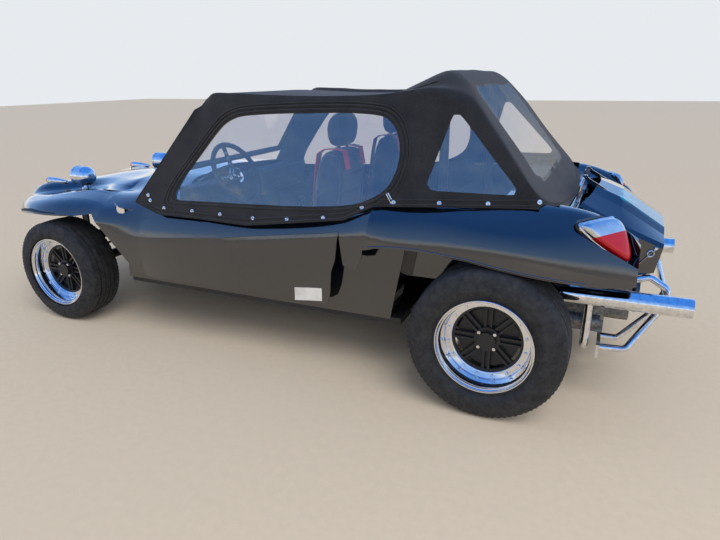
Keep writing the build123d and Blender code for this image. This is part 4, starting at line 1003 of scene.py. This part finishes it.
def belts():
    straps, buckles = [], []
    for _, side in SIDES:
        middle = side * SEAT_Y * 1000
        for shift in (-SHOULDER_SPREAD, SHOULDER_SPREAD):
            lean = -0.35 * shift
            points = []
            for x, z in SHOULDER_PATH:
                pull = clamp((985 - z) / 470) if x > 800 else 0.0
                place = at(x + (14 if x > 840 else 4), middle + shift + lean * pull, z)
                points.append((place, Vector((0, 1, 0))))
            straps.append(strap(points, *WEBBING))
            place = at(909, middle + shift + lean * 0.55, 730)
            ring = [place + Vector((0.0035, a * 0.030, b * 0.019)) for a, b in SQUARE]
            buckles.append(tube_mesh(ring, 0.003, 8, closed=True))
        width = Vector((0.6, 0, 0.5)).normalized()
        points = [(at(x, middle + y * 0.93, 521 - abs(y) * 0.10), width) for x, y in LAP_PATH]
        straps.append(strap(points, *WEBBING))
        facing = Vector((0.75, 0, 0.66)).normalized()
        buckles.append(lathe(LAP_BUCKLE, at(934, middle, 527), 28, facing, False))
    piece("harness_straps", *joined(straps), "belt_red", replaces=("belts",), smooth=50.0)
    piece("harness_buckles", *joined(buckles), "brass", slot="belt_red")


# Steering wheel

# Distance from the hub and half width along a spoke
SPOKE = ((0.030, 0.022), (0.060, 0.017), (0.100, 0.014), (0.140, 0.015), (0.158, 0.020))
# Radius and height along the column
STEERING_HUB = [(0.0105, -0.052), (0.024, -0.052), (0.030, -0.030), (0.034, -0.014), (0.046, -0.010),
                (0.046, -0.006), (0.034, -0.004), (0.032, 0.004), (0.024, 0.010), (0.0, 0.012)]


def steering_wheel():
    hub = at(1390, 340, 834)
    knee = at(1750, 340, 640)
    along = (hub - knee).normalized()
    u = Vector((0, 1, 0))
    v = along.cross(u).normalized()

    def spot(radius, angle, lift=0.0):
        return hub + (u * math.cos(angle) + v * math.sin(angle)) * radius + along * lift

    around, sides = 96, 14
    ring = []
    for a in turns(around):
        grip = 0.0125 + 0.0012 * math.cos(a * 28)
        ring += [spot(0.162 + grip * math.cos(b), a, grip * math.sin(b)) for b in turns(sides)]
    piece("steering_rim", ring, grid_faces(around, sides, True, True), "dash_black", "steering_wheel_body",
          "chrome", ("steering_wheel",), 60.0)
    spokes = []
    for angle in (0.0, math.pi, -math.pi / 2):
        verts, faces = [], []
        for t, half in SPOKE:
            side = (-u * math.sin(angle) + v * math.cos(angle)) * half
            for h in (-0.0018, 0.0018):
                middle = spot(t, angle, -0.016 + 0.014 * (t / 0.16) ** 2 + h)
                verts += [middle - side, middle + side]
        for a in range(0, 4 * len(SPOKE) - 4, 4):
            b = a + 4
            faces += [(a, a + 1, b + 1, b), (a + 2, b + 2, b + 3, a + 3), (a, b, b + 2, a + 2),
                      (a + 1, a + 3, b + 3, b + 1)]
        faces += [(0, 2, 3, 1), (b, b + 1, b + 3, b + 2)]
        spokes.append((verts, faces))
        for t in (0.066, 0.093, 0.120):
            spokes.append(lathe([(0.0045, 0.0), (0.0085, 0.0), (0.0085, 0.0022), (0.0045, 0.0022)],
                                spot(t, angle, -0.0125 + 0.014 * (t / 0.16) ** 2), 20, along))
    spokes.append(lathe(STEERING_HUB, hub, 48, along, False))
    piece("steering_spokes", *joined(spokes), "chrome", "steering_wheel_body", "chrome", smooth=35.0)


# Lamps

# The lamp's outline in its own plane, as (across, up) in millimetres
LAMP_OUTLINE = [(0, 3), (173, 1), (202, -46), (198, -150), (170, -182), (46, -74), (-2, -16)]
RED_BELOW = -57.0
# Share of the outline and height over the lamp's plane
LENS_RINGS = [(0.985, 14.6), (0.985, 24), (0.96, 32), (0.90, 38.5), (0.78, 42.5), (0.55, 44.3), (0.28, 45),
              (0.06, 45)]


def lamp_frame():
    outer, inner, tip = at(-277, 640, 785), at(-388, 500, 792), at(-455, 560, 600)
    across = (inner - outer).normalized()
    out = (tip - outer).cross(across).normalized()
    if out.x > 0:
        out = -out
    return outer, across, out.cross(across), out


def tail_lamps():
    origin, across, up, out = lamp_frame()
    outline = spread(rounded(LAMP_OUTLINE, 3, 0.2), 7)
    count = len(outline)
    cx, cy = (sum(p[i] for p in outline) / count for i in (0, 1))

    def spot(x, y, h):
        return origin + across * (x / 1000) + up * (y / 1000) + out * (h / 1000)

    def loop(share, h):
        return [spot(cx + (x - cx) * share, cy + (y - cy) * share, h) for x, y in outline]

    verts = [p for share, h in LENS_RINGS for p in loop(share, h)]
    faces = grid_faces(len(LENS_RINGS), count, False, True) + end_faces(len(LENS_RINGS), count)
    bezel = tube_mesh(loop(1.015, 17), 0.0045, 10, closed=True)
    gasket = tube_mesh(loop(1.05, 6), 0.006, 10, closed=True)
    for name, side in SIDES:
        def flip(points):
            return [Vector((p.x, p.y * side, p.z)) for p in points]
        place, normal = flip([spot(0, RED_BELOW, 0), up])
        for part, mat, keep in (("red", "lamp_red", True), ("clear", "lamp_silver", False)):
            obj = piece("tail_lens_" + part + "_" + name, flip(verts), faces, mat, None, smooth=50.0)
            with editing(obj.data) as work:
                whole = work.verts[:] + work.edges[:] + work.faces[:]
                cut = bmesh.ops.bisect_plane(work, geom=whole, plane_co=place, plane_no=normal,
                                             clear_outer=keep, clear_inner=not keep)
                edges = [e for e in cut["geom_cut"] if isinstance(e, bmesh.types.BMEdge)]
                bmesh.ops.contextual_create(work, geom=edges)
            stands_for = ("tail_lamp_lenses",) if part == "red" and side > 0 else ()
            finish_piece(obj, mat, "chassis", stands_for, 50.0)
        piece("tail_bezel_" + name, flip(bezel[0]), bezel[1], "chrome", slot="chrome")
        piece("tail_gasket_" + name, flip(gasket[0]), gasket[1], "dash_black", slot="chrome")


HEADLAMP_X, HEADLAMP_Y, HEADLAMP_Z = XF + 0.107, 0.334, 0.758
HEADLAMP_FACE = 0.048
HEADLAMP_FOOT_Z = 0.694
HEADLAMP_RING = [(0.0545, -0.012), (0.0595, -0.012), (0.0605, -0.004), (0.0590, 0.003), (0.0555, 0.004),
                 (0.0530, 0.001)]


def headlamp_rings():
    parts = []
    for _, side in SIDES:
        centre = Vector((HEADLAMP_X + HEADLAMP_FACE, side * HEADLAMP_Y, HEADLAMP_Z))
        parts.append(lathe(HEADLAMP_RING, centre, 64, Vector((1, 0, 0))))
        foot = Vector((HEADLAMP_X, side * HEADLAMP_Y, HEADLAMP_FOOT_Z))
        parts.append(lathe(disc(0.014, -0.002, 0.005), foot, 24, UP, False))
    piece("headlamp_rims", *joined(parts), "chrome")


# Body skin

# Between these two sections the scuttle is faired, along rays from the middle plane at FAIR_Z.
FAIR_REAR, FAIR_FRONT = XF - 0.612, XF - 0.330
FAIR_Z = 0.56
FAIR_STEP = 0.008
FAIR_JUMP = 0.06
ANGLES = [math.radians(-60 + 0.5 * i) for i in range(301)]
# The tub follows from this height up, over this rise
TUB_FAIR_Z = 0.50
TUB_FAIR_RISE = 0.08


def skin_table(tree):
    """Rows along the car of the distance from the middle line to the skin, by angle, left side."""
    count = round((FAIR_FRONT - FAIR_REAR) / FAIR_STEP) + 1
    rows = []
    for i in range(count):
        start = Vector((FAIR_REAR + (FAIR_FRONT - FAIR_REAR) * i / (count - 1), 0.004, FAIR_Z))
        row = [tree.ray_cast(start, Vector((0, math.cos(angle), math.sin(angle))))[3] for angle in ANGLES]
        low = min(k for k, r in enumerate(row) if r is not None)
        side = row[low] * math.cos(ANGLES[low])
        row[:low] = [side / math.cos(angle) for angle in ANGLES[:low]]
        for k in range(1, len(row)):
            if row[k] is None or abs(row[k] - row[k - 1]) > FAIR_JUMP:
                row[k] = row[k - 1]
        for _ in range(2):
            last = len(row) - 1
            row = [(row[max(k - 1, 0)] + 2 * r + row[min(k + 1, last)]) / 4 for k, r in enumerate(row)]
        rows.append(row)
    return rows


def table_value(rows, x, angle):
    u = (x - FAIR_REAR) / (FAIR_FRONT - FAIR_REAR) * (len(rows) - 1)
    v = (angle - ANGLES[0]) / (ANGLES[1] - ANGLES[0])
    i = clamp(int(u), 0, len(rows) - 2)
    k = clamp(int(v), 0, len(ANGLES) - 2)
    u, v = clamp(u - i), clamp(v - k)
    low = rows[i][k] * (1 - v) + rows[i][k + 1] * v
    high = rows[i + 1][k] * (1 - v) + rows[i + 1][k + 1] * v
    return low * (1 - u) + high * u


def fair_rows(rows):
    """The same rows run smoothly from the first to the last."""
    fair = []
    for i in range(len(rows)):
        s = i / (len(rows) - 1)
        s = 0.5 * s + 0.5 * s * s * (3 - 2 * s)
        fair.append([a + (b - a) * s for a, b in zip(rows[0], rows[-1])])
    return fair


def table_normal(rows, x, angle, side):
    def spot(x, angle):
        r = table_value(rows, x, angle)
        return Vector((x, r * math.cos(angle), r * math.sin(angle)))
    along = spot(x + 0.010, angle) - spot(x - 0.010, angle)
    around = spot(x, angle + 0.016) - spot(x, angle - 0.016)
    out = around.cross(along).normalized()
    if out.y * math.cos(angle) + out.z * math.sin(angle) < 0:
        out = -out
    return Vector((out.x, out.y * side, out.z))


def faired(source, rows, fair, floor=None):
    """A copy of a mesh moved from the rows to the fair rows, with its shading turned along."""
    mesh = source.copy()
    normals = [Vector(n.vector) for n in mesh.corner_normals]
    moved = {}
    for v in mesh.vertices:
        x, y, z = v.co
        if not FAIR_REAR < x < FAIR_FRONT:
            continue
        side = 1 if y >= 0 else -1
        angle = math.atan2(z - FAIR_Z, max(abs(y), 1e-5))
        if angle < ANGLES[0]:
            continue
        shift = table_value(fair, x, angle) - table_value(rows, x, angle)
        if floor is not None:
            shift *= clamp((z - floor) / TUB_FAIR_RISE)
        moved[v.index] = (x, angle, side, shift)
    for index, (x, angle, side, shift) in moved.items():
        mesh.vertices[index].co += Vector((0, side * math.cos(angle), math.sin(angle))) * shift
    for loop in mesh.loops:
        if loop.vertex_index in moved:
            x, angle, side, _ = moved[loop.vertex_index]
            normal = normals[loop.index]
            facing = normal.dot(table_normal(rows, x, angle, side))
            if abs(facing) > 0.75:
                normals[loop.index] = table_normal(fair, x, angle, side) * (1 if facing > 0 else -1)
    mesh.normals_split_custom_set(normals)
    return mesh


def body_skin():
    names = ("body_shell", "side_panel_left", "side_panel_right", "tub")
    sources = [frame["nodes"][name].data for name in names]
    parts = [([tuple(v.co) for v in s.vertices], [tuple(f.vertices) for f in s.polygons])
             for s in sources[:3]]
    verts, faces = joined(parts)
    rows = skin_table(BVHTree.FromPolygons(verts, faces))
    fair = fair_rows(rows)
    trees = []
    for name, source in zip(names, sources):
        obj = linked(name.replace("side_panel", "pod").replace("body_shell", "moulded") + "_skin",
                     faired(source, rows, fair, TUB_FAIR_Z if name == "tub" else None))
        obj.data.materials.clear()
        obj.data.materials.append(MATS["black_gelcoat"].material)
        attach(obj, "chassis")
        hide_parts(name)
        trees.append(surface_finder(obj.data))
    return trees[:3]


# Body trim

# Edges of the body in the side view, as (x, z)
FRONT_EDGE = [(2840, 550), (2700, 584), (2560, 604), (2358, 610), (2229, 613)]
REAR_EDGE = [(518, 640), (470, 643), (296, 647), (80, 642), (-106, 618), (-267, 595), (-360, 580)]
ARCH_EDGE = [(2056, 573), (2001, 505), (1944, 441), (1895, 376)]
# Lower and upper edges, as (x, z), of the dark sheet of painted shade over the front lip's hollow
HOLLOW_LOW = [(2340, 611), (2358, 610), (2560, 604), (2700, 584), (2840, 550), (2874, 538)]
HOLLOW_HIGH = [(2340, 626), (2358, 628), (2560, 632), (2680, 616), (2760, 596), (2840, 586), (2874, 580)]
HOLLOW_COLUMNS = 5


def rolled_lips(shell, pods):
    lips = []
    for (_, side), pod in zip(SIDES, pods):
        edges = ((FRONT_EDGE, shell, 0, 5), (REAR_EDGE, shell, 0, 5), (ARCH_EDGE, pod, -6, 0))
        for line, tree, shift, lift in edges:
            points = []
            for x, _, z in spread([(x, 0, z) for x, z in line], 26, False):
                place, _ = on_side(tree, x + shift, z + lift, side, -0.004)
                if place is not None and (not points or (place - points[-1]).length < 0.09):
                    points.append(place)
            if len(points) > 2:
                lips.append(tube_mesh(points, 0.0065, 10))
    piece("rolled_lips", *joined(lips), "black_gelcoat", smooth=60.0)


def lip_shade_sheets(shell):
    """A dark rough sheet laid over the front lip as painted shade for its hollow, deep at the nose and narrow
    over the wheel.
    """
    shade_strips = []
    for _, side in SIDES:
        points = []
        for x in range(2352, 2876, 26):
            low, high = line_at(HOLLOW_LOW, x)[0] + 9, line_at(HOLLOW_HIGH, x)[0] - 6
            spots = [(x, low + (high - low) * k / (HOLLOW_COLUMNS - 1)) for k in range(HOLLOW_COLUMNS)]
            row = traced(shell, spots, side, 0.0012)
            if len(row) == HOLLOW_COLUMNS:
                points += row
        back = Vector((0, -side * 0.003, 0))
        shade_strips.append(slab(points, len(points) // HOLLOW_COLUMNS, HOLLOW_COLUMNS, back))
    piece("lip_shade_sheets", *joined(shade_strips), "lip_black", slot="black_gelcoat", smooth=60.0)


def blank_label(pod):
    """A blank label on the left pod, laid along the surface."""
    points, wide, high = [], 9, 5
    for i in range(wide):
        for k in range(high):
            u, v = i / (wide - 1), k / (high - 1)
            x = (745 + 149 * u) * (1 - v) + (748 + 151 * u) * v
            z = (412 - 22 * u) * (1 - v) + (348 - 23 * u) * v
            place, _ = on_side(pod, x, z, 1, 0.0014)
            if place is None:
                place = at(x, points[-1].y * 1000, z)
            points.append(place)
    back = Vector((0, -0.0022, 0))
    piece("blank_label", *slab(points, wide, high, back), "label_white", slot="black_gelcoat")


LATCH_SCREW = [(0.0, -0.004), (0.007, -0.004), (0.008, 0.002), (0.005, 0.006), (0.0, 0.006)]


def cover_latches():
    straps, tips = [], []
    for _, side in SIDES:
        low, high = at(-504, side * 322, 559), at(-567.5, side * 322, 642)
        out = Vector((0, side, 0))
        straps.append(tube_mesh([low, low.lerp(high, 0.35), low.lerp(high, 0.7), high], 0.0045, 10, flat=0.6))
        along = (high - low).normalized()
        other = out.cross(along).normalized()
        middle = low.lerp(high, 0.74)
        ring = [middle + along * math.cos(a) * 0.013 + other * math.sin(a) * 0.011 for a in turns(20)]
        straps.append(tube_mesh(ring, 0.004, 8, closed=True))
        for place in (low, high):
            tips.append(lathe(LATCH_SCREW, place, 16, out, False))
    piece("cover_latches", *joined(straps), "chrome", "engine_cover_body", "chrome")
    piece("cover_latch_screws", *joined(tips), "chrome", "engine_cover_body", "chrome")


def deck_struts():
    bars = []
    for _, side in SIDES:
        for y, *ends in ((152, (-256, 790), (-262, 868)), (206, (-252, 790), (-258, 852))):
            bars.append(tube_mesh([at(x, side * y, z) for x, z in ends], 0.006, 10))
        cross = ((-262, 128, 868), (-262, 152, 868), (-258, 206, 852))
        bars.append(tube_mesh([at(x, side * y, z) for x, y, z in cross], 0.005, 10))
    piece("deck_struts", *joined(bars), "chrome")


def engine_detail():
    leads = []
    for _, side in SIDES:
        for x in (-225, -350):
            path = [at(x - 14, side * 300, 396), at(x - 20, side * 300, 440), at(x - 60, side * 210, 500),
                    at(-392, side * 90, 520)]
            points = path[:1]
            for a, b in zip(path, path[1:]):
                points += [a.lerp(b, 0.5), b]
            leads.append(tube_mesh(points, 0.004, 8))
    piece("ignition_leads", *joined(leads), "dash_black", slot="engine_alloy")
    fin = [(0.0535, -0.002), (0.0565, 0.0), (0.0535, 0.002)]
    fins = [lathe(fin, at(-386 - k * 13, 0, 610), 40, Vector((1, 0, 0))) for k in range(9)]
    piece("dynamo_fins", *joined(fins), "engine_alloy", slot="chassis_black")


def floor():
    bpy.ops.mesh.primitive_plane_add(size=60)
    plane = bpy.context.object
    plane.name = "studio_floor"
    m = Mat("pale_floor", (0.70, 0.61, 0.50), 0.9)
    m.speckle(30.0, 0.97, 1.02)
    plane.data.materials.append(m.material)


def studio_world():
    """Pale to the camera and for light; a blue sky over a pale skyline in reflections."""
    world = bpy.data.worlds.new("studio")
    bpy.context.scene.world = world
    world.use_nodes = True
    tree = world.node_tree

    def background(colour, strength):
        made = tree.nodes.new("ShaderNodeBackground")
        made.inputs["Color"].default_value = (*colour, 1)
        made.inputs["Strength"].default_value = strength
        return made

    def choose(ray, a, b):
        made = tree.nodes.new("ShaderNodeMixShader")
        tree.links.new(rays.outputs[ray], made.inputs["Fac"])
        tree.links.new(a.outputs[0], made.inputs[1])
        tree.links.new(b.outputs[0], made.inputs[2])
        return made

    rays = tree.nodes.new("ShaderNodeLightPath")
    split = tree.nodes.new("ShaderNodeSeparateXYZ")
    tree.links.new(tree.nodes.new("ShaderNodeTexCoord").outputs["Generated"], split.inputs["Vector"])
    ramp = tree.nodes.new("ShaderNodeValToRGB")
    fill_ramp(ramp.color_ramp, ((0.0, (0.62, 0.60, 0.56)), (0.06, (0.80, 0.84, 0.90)),
                                (0.20, (0.30, 0.52, 0.92)), (0.8, (0.05, 0.22, 0.72))))
    tree.links.new(split.outputs["Z"], ramp.inputs["Fac"])
    sky = background((1, 1, 1), 1.25)
    tree.links.new(ramp.outputs["Color"], sky.inputs["Color"])
    plain = background((0.80, 0.83, 0.86), 1.0)
    fill = background((0.80, 0.86, 0.96), 0.55)
    shown = choose("Is Camera Ray", choose("Is Glossy Ray", fill, sky), plain)
    tree.links.new(shown.outputs[0], tree.nodes["World Output"].inputs["Surface"])


camera()
studio_world()
floor()
studio_lamp("key", "SUN", (0, 0, 0), (0.55, -0.50, -1.0), 1.5, angle=math.radians(40))
studio_lamp("side_box", "AREA", (-3.4, 4.6, 2.6), (3.4, -4.6, -2.1), 50, shape="RECTANGLE", size=3.0,
            size_y=1.2)

for row in frame["record"]["subparts"]:
    dress(row["node"], row["material_slot"])
dress("engine_cover", "cover_paint")

canopy_trim(canopy())
for end in ("front", "rear"):
    for word, way in SIDES:
        tyre(end, end + "_" + word, way)
        rim(end, end + "_" + word, way)
seats()
bench()
belts()
steering_wheel()
tail_lamps()
headlamp_rings()
shell_surface, *pod_surfaces = body_skin()
rolled_lips(shell_surface, pod_surfaces)
lip_shade_sheets(shell_surface)
blank_label(pod_surfaces[0])
cover_latches()
deck_struts()
engine_detail()

bpy.context.scene.view_settings.view_transform = "Standard"
bpy.context.view_layer.update()
